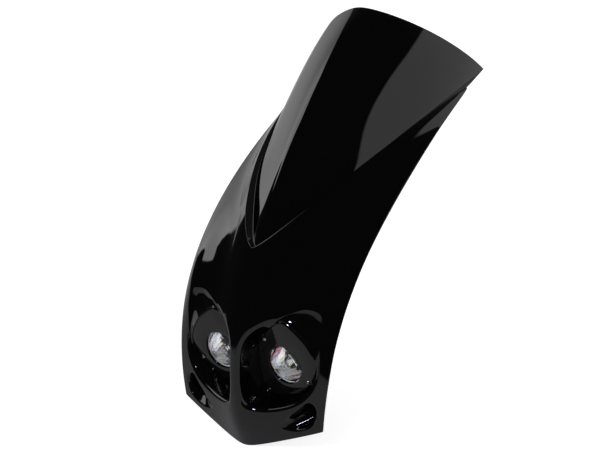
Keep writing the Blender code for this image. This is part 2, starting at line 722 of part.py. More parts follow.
def build_plate_fixings(side, collection, places):
    pieces = []
    nut_front = -(PLATE_THICKNESS + GAP + SKIN_THICKNESS + GAP)
    nut_back = nut_front - NUT_HEIGHT
    end = nut_back - SCREW_PROUD
    head = GAP + SCREW_HEAD_HEIGHT
    for label, place in zip("ab", places):
        screw = [(0.0, head), (SCREW_HEAD_RADIUS * 0.55, head - SCREW_HEAD_HEIGHT * 0.07),
                 (SCREW_HEAD_RADIUS * 0.9, head - SCREW_HEAD_HEIGHT * 0.4),
                 (SCREW_HEAD_RADIUS, GAP), (SCREW_RADIUS, GAP), (SCREW_RADIUS, end), (0.0, end)]
        piece = turned(side + "_plate_screw_" + label, screw, "zinc_steel", collection,
                       SMALL_SEGMENTS)
        nut = prism(side + "_plate_nut_" + label, circle(NUT_RADIUS, 6), nut_back, nut_front,
                    "zinc_steel", collection)
        cut_holes(nut, [(0.0, 0.0)], SCREW_RADIUS + GAP, nut_back - 1.0, nut_front + 1.0,
                  collection)
        for item in (piece, nut):
            item.location = (place[0] * MM, place[1] * MM, 0.0)
            pieces.append(item)
    return pieces


def build_boss(name, s, t, collection):
    """A bonded boss whose outer end lies along the inside of the skin at (s, t)."""
    point = body_skin(s, t)
    normal = normal_of(body_skin, np.array(s), np.array(t))
    near_s, near_t = np.meshgrid(s + np.linspace(-0.04, 0.04, 41), t + np.linspace(-0.15, 0.15, 41))
    near = body_skin(near_s, near_t) - point
    drop = -near @ normal
    radial = np.linalg.norm(near + drop[..., None] * normal, axis=-1)
    sagging = drop[radial < BOSS_RADIUS + 1.0].max()
    boss = prism(name, circle(BOSS_RADIUS, 24), 0.0, BOSS_HEIGHT, "filled_resin", collection)
    cut_holes(boss, [(0.0, 0.0)], BOSS_THREAD_RADIUS, BOSS_HEIGHT - BOSS_THREAD_DEPTH,
              BOSS_HEIGHT + 1.0, collection)
    seat = point - normal * (SKIN_THICKNESS + BOND_LINE + sagging)
    boss.matrix_world = (Matrix.Translation(Vector(seat * MM))
                         @ Vector(-normal).to_track_quat("Z", "X").to_matrix().to_4x4())
    return boss


def main():
    for item in list(bpy.data.objects):
        bpy.data.objects.remove(item)
    collection = bpy.data.collections.new("front_fairing")
    bpy.context.scene.collection.children.link(collection)

    shell = build_shell(collection)
    spots = [(x - LAMP_SPACING / 2, z) for x, z in screw_places()]
    facing = Matrix.Rotation(math.radians(90.0), 4, "X")
    for side, label in ((1, "right"), (-1, "left")):
        centre = Matrix.Translation((side * LAMP_SPACING / 2 * MM, 0.0, 0.0))
        mirror = Matrix.Scale(side, 4, (1.0, 0.0, 0.0))
        pieces = [build_plate(label + "_lamp_plate", collection, spots)]
        pieces += build_plate_fixings(label, collection, spots)
        pieces += build_lamp(label, collection)
        for piece in pieces:
            local = piece.matrix_basis.copy()
            if side < 0:
                piece.data.transform(mirror)
                face_outward(piece.data)
                local = mirror @ local @ mirror
            piece.matrix_world = centre @ facing @ local
        for name, (s, t) in FIXING_PLACES.items():
            build_boss(label + "_fixing_boss_" + name, s, t * side, collection)
        flange = -(PLATE_THICKNESS + GAP + SKIN_THICKNESS)
        for x, z in spots:
            outline = circle(SCREW_RADIUS + SCREW_CLEARANCE, SMALL_SEGMENTS, (x * side, z))
            drill = prism("drill", outline, flange - 2.0, -PLATE_THICKNESS, None, collection)
            drill.matrix_world = centre @ facing
            cut(shell, drill)

    corners = np.array([shell.matrix_world @ vertex.co for vertex in shell.data.vertices])
    low = corners.min(axis=0)
    high = corners.max(axis=0)
    shift = Matrix.Translation((0.0, -(low[1] + high[1]) / 2, -low[2]))
    for item in collection.objects:
        item.matrix_world = shift @ item.matrix_world
    bpy.context.view_layer.update()
    print("origin moved by", [round(value, 5) for value in shift.translation])


main()
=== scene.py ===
import math

import bmesh
import bpy
import numpy as np
from mathutils import Matrix, Vector
from mathutils.geometry import delaunay_2d_cdt


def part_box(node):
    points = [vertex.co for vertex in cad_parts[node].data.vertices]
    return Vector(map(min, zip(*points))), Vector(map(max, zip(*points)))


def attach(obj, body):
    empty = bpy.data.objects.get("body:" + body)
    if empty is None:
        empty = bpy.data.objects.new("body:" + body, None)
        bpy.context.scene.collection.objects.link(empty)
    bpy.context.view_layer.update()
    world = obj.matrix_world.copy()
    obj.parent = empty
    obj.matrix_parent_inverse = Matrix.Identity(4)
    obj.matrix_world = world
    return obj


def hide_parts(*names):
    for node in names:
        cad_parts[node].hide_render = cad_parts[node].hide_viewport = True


mm = 0.001

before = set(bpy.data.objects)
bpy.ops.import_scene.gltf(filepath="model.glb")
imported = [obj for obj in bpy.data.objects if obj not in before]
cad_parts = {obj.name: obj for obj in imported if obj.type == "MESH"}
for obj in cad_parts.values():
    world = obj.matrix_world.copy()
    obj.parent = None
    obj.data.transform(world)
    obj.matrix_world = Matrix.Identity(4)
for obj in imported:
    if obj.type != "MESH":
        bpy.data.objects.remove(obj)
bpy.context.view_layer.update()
scene = bpy.context.scene
print("frame loaded:", len(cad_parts), "nodes")

# Everything is drawn about the lamps: Y 0 is the front of the lamp plates, Z 0 the lamps' height
plateLow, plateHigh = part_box("right_lamp_plate")
bowlLow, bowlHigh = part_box("right_reflector")
drawingShift = np.array([0.0, plateLow.y / mm, (bowlLow.z + bowlHigh.z) / 2 / mm])


def fromDrawing(points):
    # millimetres about the lamps to object coordinates in metres
    return (np.asarray(points, float) + drawingShift) * mm


def toLinear(hexColor):
    # sRGB hex to linear RGBA
    values = [int(hexColor[i:i + 2], 16) / 255 for i in (1, 3, 5)]
    return (*(v / 12.92 if v <= 0.04045 else ((v + 0.055) / 1.055) ** 2.4 for v in values), 1.0)


def addNode(tree, kind, inputs=None, **settings):
    # one node with its settings; an input is a value or another node's socket
    node = tree.nodes.new(kind)
    for name, value in settings.items():
        setattr(node, name, value)
    for key, value in (inputs or {}).items():
        if isinstance(value, bpy.types.NodeSocket):
            tree.links.new(value, node.inputs[key])
        else:
            node.inputs[key].default_value = value
    return node


# Shell, in millimetres: as in the CAD source, but for the brow and shoulder rise, the crease along
# the V and the rims, which follow the photograph's reflections more closely
shellSizes = {
    "skinRows": [   # chin to top edge: centreline (Y, Z), side edge (half width, Y, Z), share of V
        ((-37.0, -103.5), (109.0, -16.5, -69.0), 0.95),
        ((-49.5, -60.5), (123.0, -5.0, 37.5), 0.94),
        ((-55.5, -10.5), (131.0, 45.5, 126.0), 1.0),
        ((-34.5, 58.5), (132.0, 150.5, 184.0), 1.0),
        ((27.0, 164.0), (129.5, 263.0, 223.0), 0.97),
        ((136.5, 287.0), (128.0, 340.0, 252.5), 0.47),
        ((306.5, 369.0), (127.0, 396.5, 268.0), 0.27),
    ],
    "arcAngle": math.radians(79.6),
    "ridgeRadius": 14.0,
    "skinThickness": 3.0,
    "sweepLength": 650.0,      # the skin from chin to top edge, about
    "sweepWidth": 150.0,       # the skin from its middle to a side edge, about
    "browRise": 15.0,
    "browMiddle": 0.25,
    "browFull": 0.6,
    "browEnd": 1.08,
    "browHeight": (0.44, -0.20),    # s of its line in the middle, and its fall towards the sides
    "browSpread": 0.10,
    "browSpreadAbove": 0.22,
    "screenTip": 0.602,
    "screenSweep": (0.114, 0.171),  # of the V: linear and square in t
    "stepDepth": 6.0,
    "stepDepthSide": 0.9,
    "stepFade": (0.08, 0.42),
    "stepRise": (0.18, 1.0),
    "stepDip": 1.0,
    "stepDipShare": 0.15,
    "stepRun": 2.0,
    "shoulderRise": 5.5,
    "shoulderStart": 0.22,
    "shoulderFade": (0.30, 0.95),
    "shoulderSpread": 0.15,
    "grooveDepth": 3.6,
    "grooveFade": (0.35, 0.85),
    "grooveRun": 0.028,
    "edgeRound": 0.8,
    "lipRound": 0.8,
    "footRound": 1.6,
    "acrossCells": 116,
    "bodyCells": 140,
    "screenCells": 70,
    "bendSteps": 5,
    "edgeSteps": 4,
    "patchScale": (120.0, 330.0),   # units of the flat body patch, in which its triangles are even
}


# Lamp recess, clockwise from the chin: rim (X, Z), plate edge (X, Z), rim radius, hollow
recessSizes = {
    "stations": [
        ((13.5, -43.0), (16.5, -38.0), 5.0, 0.0),
        ((8.0, -24.0), (10.8, -22.0), 5.5, 0.0),
        ((7.3, 2.0), (10.5, 0.0), 5.5, 0.0),
        ((8.5, 28.0), (13.0, 19.0), 5.5, 0.0),
        ((15.0, 44.5), (21.5, 32.5), 5.0, 0.0),
        ((28.0, 54.5), (31.5, 43.5), 4.0, 0.0),
        ((43.0, 62.0), (43.0, 53.0), 3.2, 0.3),
        ((62.0, 69.5), (55.0, 56.5), 2.6, 1.5),
        ((83.0, 76.0), (70.0, 47.5), 2.4, 3.7),
        ((102.0, 72.0), (82.0, 37.0), 2.4, 3.7),
        ((108.0, 54.0), (89.0, 28.0), 2.6, 2.8),
        ((106.0, 34.0), (94.0, 18.5), 3.2, 1.4),
        ((103.5, 13.0), (97.0, 7.0), 4.0, 0.4),
        ((100.5, -7.0), (94.0, -4.5), 4.0, 0.0),
        ((92.0, -23.0), (85.5, -17.5), 4.0, 0.0),
        ((77.5, -36.0), (71.5, -30.5), 4.0, 0.0),
        ((56.0, -44.5), (53.0, -39.5), 5.0, 0.0),
        ((33.0, -47.8), (33.0, -43.5), 5.0, 0.0),
    ],
    "lipHeight": 1.0,
    "lipRadius": 1.2,
    "seatWidth": 5.0,
    "plateThickness": 2.0,
    "gap": 0.3,
    "lampSpacing": 101.0,
    "segments": 168,
    "rimSteps": 8,
    "wallSteps": 9,
    "lipSteps": 5,
}
lampCentre = np.array([recessSizes["lampSpacing"] / 2, 0.0])


# Chin scoop: rim (X, Z), floor (X, Z), depth of the floor along Y, rim radius
scoopSizes = {
    "stations": [
        ((53.0, -69.0), (61.0, -67.5), 4.0, 1.2),
        ((65.5, -55.0), (72.0, -59.0), 10.0, 1.8),
        ((79.0, -44.0), (80.5, -51.5), 17.0, 1.7),
        ((91.0, -34.5), (88.0, -44.5), 24.0, 2.2),
        ((99.5, -38.5), (92.0, -46.5), 24.0, 3.5),
        ((101.5, -49.0), (93.5, -52.0), 22.0, 3.5),
        ((96.5, -61.0), (91.0, -58.0), 19.0, 3.0),
        ((85.0, -69.0), (83.0, -63.5), 13.0, 2.5),
        ((68.0, -73.0), (71.0, -67.0), 7.0, 1.8),
    ],
    "floorRound": 2.5,
    "wallRings": (0.25, 0.5, 0.75),        # shares of the way down the wall
    "floorRings": (0.45, 0.65, 0.85),      # and from the floor's rim to its middle
    "floorStart": 0.25,
    "segments": 84,
    "rimSteps": 7,
    "floorSteps": 5,
}


def smoothStep(low, high, value):
    x = np.clip((value - low) / (high - low), 0.0, 1.0)
    return x * x * (3.0 - 2.0 * x)


def plainSkin(s, t):
    # s runs from the chin to the top edge, t from side to side
    rows = shellSizes["skinRows"]
    degree = len(rows) - 1
    index = np.arange(degree + 1)
    share = np.array([math.comb(degree, k) for k in index])
    s = np.asarray(s, float)[..., None]
    weights = share * s ** index * (1.0 - s) ** (degree - index)
    centre = weights @ np.array([row[0] for row in rows])
    edge = weights @ np.array([row[1] for row in rows])
    vee = weights @ np.array([row[2] for row in rows])
    angle = shellSizes["arcAngle"]
    radius = shellSizes["ridgeRadius"]
    width = edge[..., 0]
    x = width * np.sin(angle * t) / math.sin(angle)
    arc = (1.0 - np.cos(angle * t)) / (1.0 - math.cos(angle))
    ridge = (np.hypot(x, radius) - radius) / (np.hypot(width, radius) - radius)
    depth = (1.0 - vee) * arc + vee * ridge
    y = centre[..., 0] + depth * (edge[..., 1] - centre[..., 0])
    z = centre[..., 1] + depth * (edge[..., 2] - centre[..., 1])
    return np.stack([x, y, z], axis=-1)


def surfaceNormal(surface, s, t, step=1e-3):
    along = surface(s + step, t) - surface(s - step, t)
    across = surface(s, t + step) - surface(s, t - step)
    normal = np.cross(across, along)
    return normal / np.linalg.norm(normal, axis=-1, keepdims=True)


def alongShare(name):
    # a length of the shell as a share of the sweep
    return shellSizes[name] / shellSizes["sweepLength"]


def screenLine(t):
    across = np.abs(t)
    sweep = shellSizes["screenSweep"]
    return shellSizes["screenTip"] + sweep[0] * across + sweep[1] * across ** 2


def browRise(s, t):
    across = np.abs(t)
    full = shellSizes["browFull"]
    middle = shellSizes["browMiddle"]
    amount = middle + (1.0 - middle) * smoothStep(0.0, full, across)
    amount = amount * (1.0 - smoothStep(full, shellSizes["browEnd"], across))
    line = shellSizes["browHeight"][0] + shellSizes["browHeight"][1] * across
    spread = np.where(s > line, shellSizes["browSpreadAbove"], shellSizes["browSpread"])
    return shellSizes["browRise"] * amount * np.exp(-((s - line) / spread) ** 2)


def shoulderRise(s, t):
    across = np.abs(t)
    amount = smoothStep(0.0, shellSizes["shoulderStart"], across)
    amount = amount * (1.0 - smoothStep(*shellSizes["shoulderFade"], across))
    away = (s - screenLine(t)) / shellSizes["shoulderSpread"]
    return shellSizes["shoulderRise"] * amount * np.exp(-away ** 2)


def grooveDrop(away, t):
    # the crease beside the step, deepest at the step's line; away is measured along s
    depth = shellSizes["grooveDepth"] * smoothStep(*shellSizes["grooveFade"], np.abs(t))
    return depth * np.exp(-np.maximum(away, -0.003) / shellSizes["grooveRun"])


def browedSkin(s, t):
    s, t = np.asarray(s, float), np.asarray(t, float)
    return plainSkin(s, t) + browRise(s, t)[..., None] * surfaceNormal(plainSkin, s, t)


def bodySkin(s, t):
    s, t = np.asarray(s, float), np.asarray(t, float)
    rise = browRise(s, t) + shoulderRise(s, t) - grooveDrop(screenLine(t) - s, t)
    return plainSkin(s, t) + rise[..., None] * surfaceNormal(plainSkin, s, t)


def screenSkin(share, t):
    # share runs from the foot of the step to the top edge
    foot = screenLine(t) + alongShare("stepRun")
    s = foot + share * (1.0 - foot)
    side = smoothStep(*shellSizes["stepFade"], np.abs(t))
    depth = shellSizes["stepDepth"] + (shellSizes["stepDepthSide"] - shellSizes["stepDepth"]) * side
    depth = depth * (1.0 - smoothStep(*shellSizes["stepRise"], share)) + grooveDrop(s - foot, t)
    dip = share / shellSizes["stepDipShare"]
    depth = depth + (1.0 - side) * shellSizes["stepDip"] * dip * np.exp(1.0 - dip)
    return browedSkin(s, t) - depth[..., None] * surfaceNormal(browedSkin, s, t)


def locateOnSkin(x, z):
    # surface coordinates of the skin points seen from the front at (x, z), x >= 0
    gridS, gridT = np.meshgrid(np.linspace(0, 1, 81), np.linspace(0, 1, 41), indexing="ij")
    gridS, gridT = gridS.ravel(), gridT.ravel()
    grid = bodySkin(gridS, gridT)
    nearest = np.hypot(grid[:, 0] - x[:, None], grid[:, 2] - z[:, None]).argmin(axis=1)
    s, t = gridS[nearest], gridT[nearest]
    step = 1e-4
    for _ in range(12):
        point = bodySkin(s, t)
        along = (bodySkin(s + step, t) - point) / step
        across = (bodySkin(s, t + step) - point) / step
        missX, missZ = x - point[:, 0], z - point[:, 2]
        scale = along[:, 0] * across[:, 2] - along[:, 2] * across[:, 0]
        s = s + (missX * across[:, 2] - missZ * across[:, 0]) / scale
        t = t + (along[:, 0] * missZ - along[:, 2] * missX) / scale
    return s, t


def closedCurve(points, count):
    # even samples of a smooth closed curve through the rows of points
    points = np.asarray(points, float)
    u = np.linspace(0.0, 1.0, 40, endpoint=False)[:, None]
    dense = []
    for i in range(len(points)):
        a, b, c, d = (points[(i + k) % len(points)] for k in (-1, 0, 1, 2))
        bend = 2 * a - 5 * b + 4 * c - d + u * (3 * (b - c) + d - a)
        dense.append(b + 0.5 * u * (c - a + u * bend))
    dense = np.concatenate(dense)
    looped = np.vstack([dense, dense[:1]])
    length = np.r_[0.0, np.cumsum(np.hypot(*np.diff(looped[:, :2], axis=0).T))]
    place = np.linspace(0.0, length[-1], count, endpoint=False)
    return np.stack([np.interp(place, length, column) for column in looped.T], axis=1)


def outwardOf(curve):
    along = np.roll(curve, -1, axis=0) - np.roll(curve, 1, axis=0)
    normal = np.stack([-along[:, 1], along[:, 0]], axis=1)
    return normal / np.linalg.norm(normal, axis=1, keepdims=True)


def bendRows(start, corner, end, count):
    return [(1 - u) ** 2 * start + 2 * u * (1 - u) * corner + u * u * end
            for u in np.linspace(0.0, 1.0, count + 1)]


def towardPoint(start, end, distance, most=0.45):
    span = end - start
    length = np.linalg.norm(span, axis=-1, keepdims=True)
    return start + span * np.minimum(np.asarray(distance, float)[..., None] / length, most)


def liftTo(xz, y):
    return np.stack([xz[:, 0], np.broadcast_to(y, len(xz)), xz[:, 1]], axis=1)


def rimRows(rim, radius, target, steps):
    startXz = rim + outwardOf(rim) * radius[:, None]
    s, t = locateOnSkin(startXz[:, 0], startXz[:, 1])
    corner = bodySkin(*locateOnSkin(rim[:, 0], rim[:, 1]))
    rows = bendRows(bodySkin(s, t), corner, towardPoint(corner, target, radius), steps)
    return rows, s, t


def ringTable(stations, count):
    table = [first + second + (third, fourth) for first, second, third, fourth in stations]
    ring = closedCurve(table, count)
    return ring[:, 0:2], ring[:, 2:4], ring[:, 4], ring[:, 5]


def gridFaces(rowCount, columnCount, closed=True, wrapped=False):
    # quads of a grid whose rows are closed rings, or open; wrapped joins its last row to its first
    return [(r * columnCount + c, r * columnCount + (c + 1) % columnCount,
             (r + 1) % rowCount * columnCount + (c + 1) % columnCount, (r + 1) % rowCount * columnCount + c)
            for r in range(rowCount if wrapped else rowCount - 1)
            for c in range(columnCount if closed else columnCount - 1)]


def shifted(faces, first):
    return [tuple(first + i for i in face) for face in faces]


def ringEdges(first, count):
    return [(first + i, first + (i + 1) % count) for i in range(count)]


def gridNormals(rows, firstNormals):
    # unit normals of a stack of closed rings, turned the way of the known first row
    stack = np.array(rows)
    around = np.roll(stack, -1, axis=1) - np.roll(stack, 1, axis=1)
    down = np.gradient(stack, axis=0)
    normals = np.cross(around, down)
    normals /= np.maximum(np.linalg.norm(normals, axis=-1, keepdims=True), 1e-9)
    if (normals[1] * firstNormals).sum() < 0.0:
        normals = -normals
    normals[0] = firstNormals
    return normals


def isInside(points, polygon):
    x, y = points[:, 0, None], points[:, 1, None]
    ax, ay = polygon.T
    bx, by = np.roll(polygon, -1, axis=0).T
    rising = np.where(by == ay, 1.0, by - ay)
    crossing = ((ay > y) != (by > y)) & (x < (bx - ax) * (y - ay) / rising + ax)
    return crossing.sum(axis=1) % 2 == 1


edgeShare = alongShare("edgeRound")
sideLimit = 1.0 - shellSizes["edgeRound"] / shellSizes["sweepWidth"]
acrossValues = np.linspace(-sideLimit, sideLimit, 2 * (shellSizes["acrossCells"] // 2) + 1)


def bodyTop(t):
    return screenLine(t) - alongShare("lipRound")


def bodyPatch(loops):
    # surface coordinates and triangles of the body below the step, with holes for the loops
    scale = np.array(shellSizes["patchScale"])
    along = np.linspace(0.0, 1.0, shellSizes["bodyCells"] + 1)

    def shareOf(s, t):
        return (s - edgeShare) / (bodyTop(t) - edgeShare)

    flatLoops = [np.stack([t, shareOf(s, t)], axis=1) * scale for s, t in loops]
    t, share = (values.ravel() for values in np.meshgrid(acrossValues, along))
    points = np.stack([t, share], axis=1) * scale
    border = (np.abs(t) == sideLimit) | (share == 0.0) | (share == 1.0)
    spacing = scale[0] * (acrossValues[1] - acrossValues[0])
    keep = np.ones(len(points), bool)
    for loop in flatLoops:
        near = np.zeros(len(points), bool)
        close = np.abs(points - loop.mean(axis=0)).max(axis=1) < np.ptp(loop, axis=0).max()
        gap = np.linalg.norm(points[close, None] - loop[None], axis=2).min(axis=1)
        near[close] = gap < 0.5 * spacing
        keep &= ~(isInside(points, loop) | (near & ~border))
    points = points[keep]
    edges = []
    for loop in flatLoops:
        edges += ringEdges(len(points), len(loop))
        points = np.vstack([points, loop])
    flat, _, faces, _, _, _ = delaunay_2d_cdt([Vector(p) for p in points], edges, [], 0, 1e-6)
    flat = np.array([tuple(p) for p in flat])
    faces = np.array(faces)
    middle = flat[faces].mean(axis=1)
    inHole = np.zeros(len(faces), bool)
    for loop in flatLoops:
        inHole |= isInside(middle, loop)
    t, share = (flat / scale).T
    return edgeShare + share * (bodyTop(t) - edgeShare), t, faces[~inHole]


def recessRings():
    # outer rings from the skin down to the seat under the plate, and inner rings behind them
    sizes = recessSizes
    rim, plate, radius, hollow = ringTable(sizes["stations"], sizes["segments"])
    lip = liftTo(plate, -sizes["lipHeight"])
    rows, s, t = rimRows(rim, radius, lip, sizes["rimSteps"])
    lipStart = towardPoint(lip, rows[-1], np.full(len(plate), sizes["lipRadius"]))
    wallTop = rows[-1]
    for share in np.linspace(0.0, 1.0, sizes["wallSteps"] + 1)[1:-1]:
        row = wallTop + (lipStart - wallTop) * share
        row[:, 1] += hollow * math.sin(math.pi * share)
        rows.append(row)
    wallCount = len(rows)
    under = sizes["plateThickness"] + sizes["gap"]
    lipEnd = liftTo(plate, sizes["lipRadius"] - sizes["lipHeight"])
    rows += bendRows(lipStart, lip, lipEnd, sizes["lipSteps"])
    rows.append(liftTo(plate, under))
    seat = towardPoint(plate, lampCentre, np.full(len(plate), sizes["seatWidth"]))
    rows.append(liftTo(seat, under))
    normals = gridNormals(rows, surfaceNormal(bodySkin, s, t))
    thickness = shellSizes["skinThickness"]
    inner = [row - normal * thickness for row, normal in zip(rows[:wallCount], normals)]
    outside = plate + outwardOf(plate) * thickness
    inner.append(liftTo(outside, under - thickness * 0.4))
    inner.append(liftTo(plate + outwardOf(plate) * thickness * 0.5, under + thickness))
    inner.append(liftTo(seat, under + thickness))
    return rows, inner, s, t


def scoopRings():
    sizes = scoopSizes
    rim, floor, depth, radius = ringTable(sizes["stations"], sizes["segments"])
    corner = bodySkin(*locateOnSkin(rim[:, 0], rim[:, 1]))
    bottom = liftTo(floor, corner[:, 1] + depth)
    rows, s, t = rimRows(rim, radius, bottom, sizes["rimSteps"])
    centre = bottom.mean(axis=0)
    inner = bottom + (centre - bottom) * sizes["floorStart"]
    wallEnd = towardPoint(bottom, rows[-1], np.full(len(rim), sizes["floorRound"]))
    wallTop = rows[-1]
    rows += [wallTop + (wallEnd - wallTop) * share for share in sizes["wallRings"]]
    rows += bendRows(wallEnd, bottom, inner, sizes["floorSteps"])
    rows += [bottom + (centre - bottom) * share for share in sizes["floorRings"]]
    normals = gridNormals(rows, surfaceNormal(bodySkin, s, t))
    back = [row - normal * shellSizes["skinThickness"] for row, normal in zip(rows, normals)]
    return rows, back, s, t


def stepRows():
    # from the body's top row over the lip, down the riser and up the screen form; with the normals
    # that are known, which are zero on the two bends
    t = acrossValues
    line = screenLine(t)
    bend = shellSizes["bendSteps"]
    footShare = alongShare("footRound") / (1.0 - line)
    body, lip = bodySkin(bodyTop(t), t), bodySkin(line, t)
    foot, after = screenSkin(np.zeros_like(t), t), screenSkin(footShare, t)
    drop = np.linalg.norm(foot - lip, axis=1)
    lipEnd = towardPoint(lip, foot, np.minimum(shellSizes["lipRound"], 0.4 * drop))
    footStart = towardPoint(foot, lip, np.minimum(shellSizes["footRound"], 0.5 * drop), 0.5)
    top = 1.0 - edgeShare / (1.0 - line)
    shares = [footShare + (top - footShare) * share
              for share in np.linspace(0.0, 1.0, shellSizes["screenCells"] + 1)]
    rows = bendRows(body, lip, lipEnd, bend) + bendRows(footStart, foot, after, bend)
    rows += [screenSkin(share, t) for share in shares[1:]]
    normals = [surfaceNormal(bodySkin, bodyTop(t), t)] + [np.zeros((len(t), 3))] * (2 * bend)
    normals += [surfaceNormal(screenSkin, share, t) for share in shares]
    return np.array(rows), np.array(normals)


# The shell is a list of patches: points, faces, known normals (zero where they aren't) and material,
# which is 0 for the outside, 1 for the inside and 2 for a trimmed edge
def ringPatches():
    # the recesses and scoops of both sides, and the loops that they cut in the body
    patches, loops = [], []
    for makeRings in (recessRings, scoopRings):
        rows, inner, s, t = makeRings()
        segments = len(s)
        firstNormals = surfaceNormal(bodySkin, s, t)
        for side in (1, -1):
            flip = np.array([side, 1, 1])
            for ringRows, slot, sign in ((rows, 0, 1), (inner, 1, -1)):
                stack = np.concatenate(ringRows) * flip
                known = np.zeros_like(stack)
                known[:segments] = firstNormals * flip * sign
                faces = gridFaces(len(ringRows), segments)
                if makeRings is scoopRings:   # the floor's middle
                    last = (len(ringRows) - 1) * segments
                    faces += [(last + a, last + b, len(stack)) for a, b in ringEdges(0, segments)]
                    stack = np.vstack([stack, stack[last:].mean(axis=0)])
                    known = np.vstack([known, np.zeros(3)])
                patches.append((stack, faces, known, slot))
            if makeRings is recessRings:   # the trimmed edge of the seat
                seam = np.concatenate([rows[-1], inner[-1]]) * flip
                patches.append((seam, gridFaces(2, segments), np.zeros_like(seam), 2))
            loops.append((s[::side], t[::side] * side))
    return patches, loops


def stepPatches():
    # the step and the screen form, outside and inside
    stack, known = stepRows()
    found = np.cross(np.gradient(stack, axis=1), np.gradient(stack, axis=0))
    found /= np.linalg.norm(found, axis=-1, keepdims=True)
    given = np.linalg.norm(known, axis=-1, keepdims=True) > 0.5
    backNormals = np.where(given, known, found)
    # behind the step the laminate follows the two surfaces in a soft bend
    bent = 2 * shellSizes["bendSteps"]
    share = np.linspace(0, 1, bent)[:, None, None]
    backNormals[1:bent + 1] = (1 - share) * known[0] + share * backNormals[bent + 1]
    backNormals /= np.linalg.norm(backNormals, axis=-1, keepdims=True)
    back = stack - backNormals * shellSizes["skinThickness"]
    faces = gridFaces(len(stack), len(acrossValues), closed=False)
    patches = [(stack.reshape(-1, 3), faces, known.reshape(-1, 3), 0),
               (back.reshape(-1, 3), faces, -known.reshape(-1, 3), 1)]
    return patches, stack, backNormals


def edgePatch(s, t, body, bodyNormals, stack, backNormals):
    # the trimmed edge all round: outer skin, rounded corner, flat, rounded corner, inner face
    rounding = shellSizes["edgeRound"]
    isLow = np.isclose(s, edgeShare, atol=1e-7)
    low = np.flatnonzero(isLow)
    low = low[np.argsort(t[low])]
    border = [(body[i], bodyNormals[i], bodySkin(0.0, t[i] / sideLimit)) for i in low]
    for side in (1, -1):
        edge = np.flatnonzero(np.isclose(t, sideLimit * side, atol=1e-6) & ~isLow)
        edge = edge[np.argsort(s[edge])]
        sides = [(body[i], bodyNormals[i], bodySkin(s[i], float(side))) for i in edge]
        column = -1 if side > 0 else 0
        outwards = stack[:, column] - stack[:, column - side]
        outside = stack[:, column] + outwards * (rounding / np.linalg.norm(outwards, axis=1)[:, None])
        sides += [(stack[r, column], backNormals[r, column], outside[r]) for r in range(1, len(stack))]
        border += sides[::side]
        if side > 0:
            tops = [(stack[-1, c], backNormals[-1, c], screenSkin(1.0, acrossValues[c] / sideLimit))
                    for c in range(len(acrossValues))]
            border += tops[::-1][1:-1]
    surface, normal, corner = (np.array(column) for column in zip(*border))
    behind = normal * shellSizes["skinThickness"]
    rows = bendRows(surface, corner, corner - normal * rounding, shellSizes["edgeSteps"])
    rows += bendRows(corner - behind + normal * rounding, corner - behind, surface - behind,
                     shellSizes["edgeSteps"])
    points = np.concatenate(rows)
    return points, gridFaces(len(rows), len(surface)), np.zeros_like(points), 2


def readVectors(items, name):
    values = np.zeros(len(items) * 3, np.float32)
    items.foreach_get(name, values)
    return values.reshape(-1, 3)


def mendMesh(mesh, merge=0.0, collapse=0.0):
    # merges doubles and turns the faces outwards, takes out slivers, and counts the open edges
    work = bmesh.new()
    work.from_mesh(mesh)
    if merge:
        bmesh.ops.remove_doubles(work, verts=work.verts, dist=merge * mm)
    if collapse:
        bmesh.ops.dissolve_degenerate(work, edges=work.edges, dist=collapse * mm)
    if merge:
        bmesh.ops.recalc_face_normals(work, faces=work.faces)
    openEdges = sum(1 for edge in work.edges if len(edge.link_faces) != 2)
    work.to_mesh(mesh)
    work.free()
    return openEdges


def buildShell():
    patches, loops = ringPatches()
    s, t, bodyFaces = bodyPatch(loops)
    body, bodyNormals = bodySkin(s, t), surfaceNormal(bodySkin, s, t)
    patches.append((body, bodyFaces, bodyNormals, 0))
    patches.append((body - bodyNormals * shellSizes["skinThickness"], bodyFaces, -bodyNormals, 1))
    screenPatches, stack, backNormals = stepPatches()
    patches += screenPatches
    patches.append(edgePatch(s, t, body, bodyNormals, stack, backNormals))

    faces, slots, count = [], [], 0
    for points, patchFaces, _, slot in patches:
        faces += shifted(patchFaces, count)
        slots += [slot] * len(patchFaces)
        count += len(points)
    mesh = bpy.data.meshes.new("shellMoulding")
    mesh.from_pydata(fromDrawing(np.concatenate([patch[0] for patch in patches])).tolist(), [], faces)
    mesh.polygons.foreach_set("material_index", np.array(slots, np.int32))
    wanted = mesh.attributes.new("wantedNormal", "FLOAT_VECTOR", "POINT")
    normals = np.concatenate([patch[2] for patch in patches])
    wanted.data.foreach_set("vector", normals.astype(np.float32).ravel())
    openEdges = mendMesh(mesh, merge=0.004, collapse=0.002)
    print("shell:", len(mesh.polygons), "faces,", openEdges, "open edges")

    mesh.shade_smooth()
    smooth = readVectors(mesh.vertex_normals, "vector")
    known = readVectors(mesh.attributes["wantedNormal"].data, "vector")
    isKnown = np.linalg.norm(known, axis=1) > 0.5
    known = known * np.sign((known * smooth).sum(axis=1))[:, None]
    final = np.where(isKnown[:, None], known, smooth)
    final /= np.maximum(np.linalg.norm(final, axis=1, keepdims=True), 1e-9)
    mesh.attributes.remove(mesh.attributes["wantedNormal"])
    mesh.normals_split_custom_set_from_vertices(final.tolist())
    shell = bpy.data.objects.new("shellMoulding", mesh)
    scene.collection.objects.link(shell)
    return shell


def newMaterial(name):
    made = bpy.data.materials.new(name)
    made.use_nodes = True
    return made, made.node_tree, made.node_tree.nodes["Principled BSDF"]


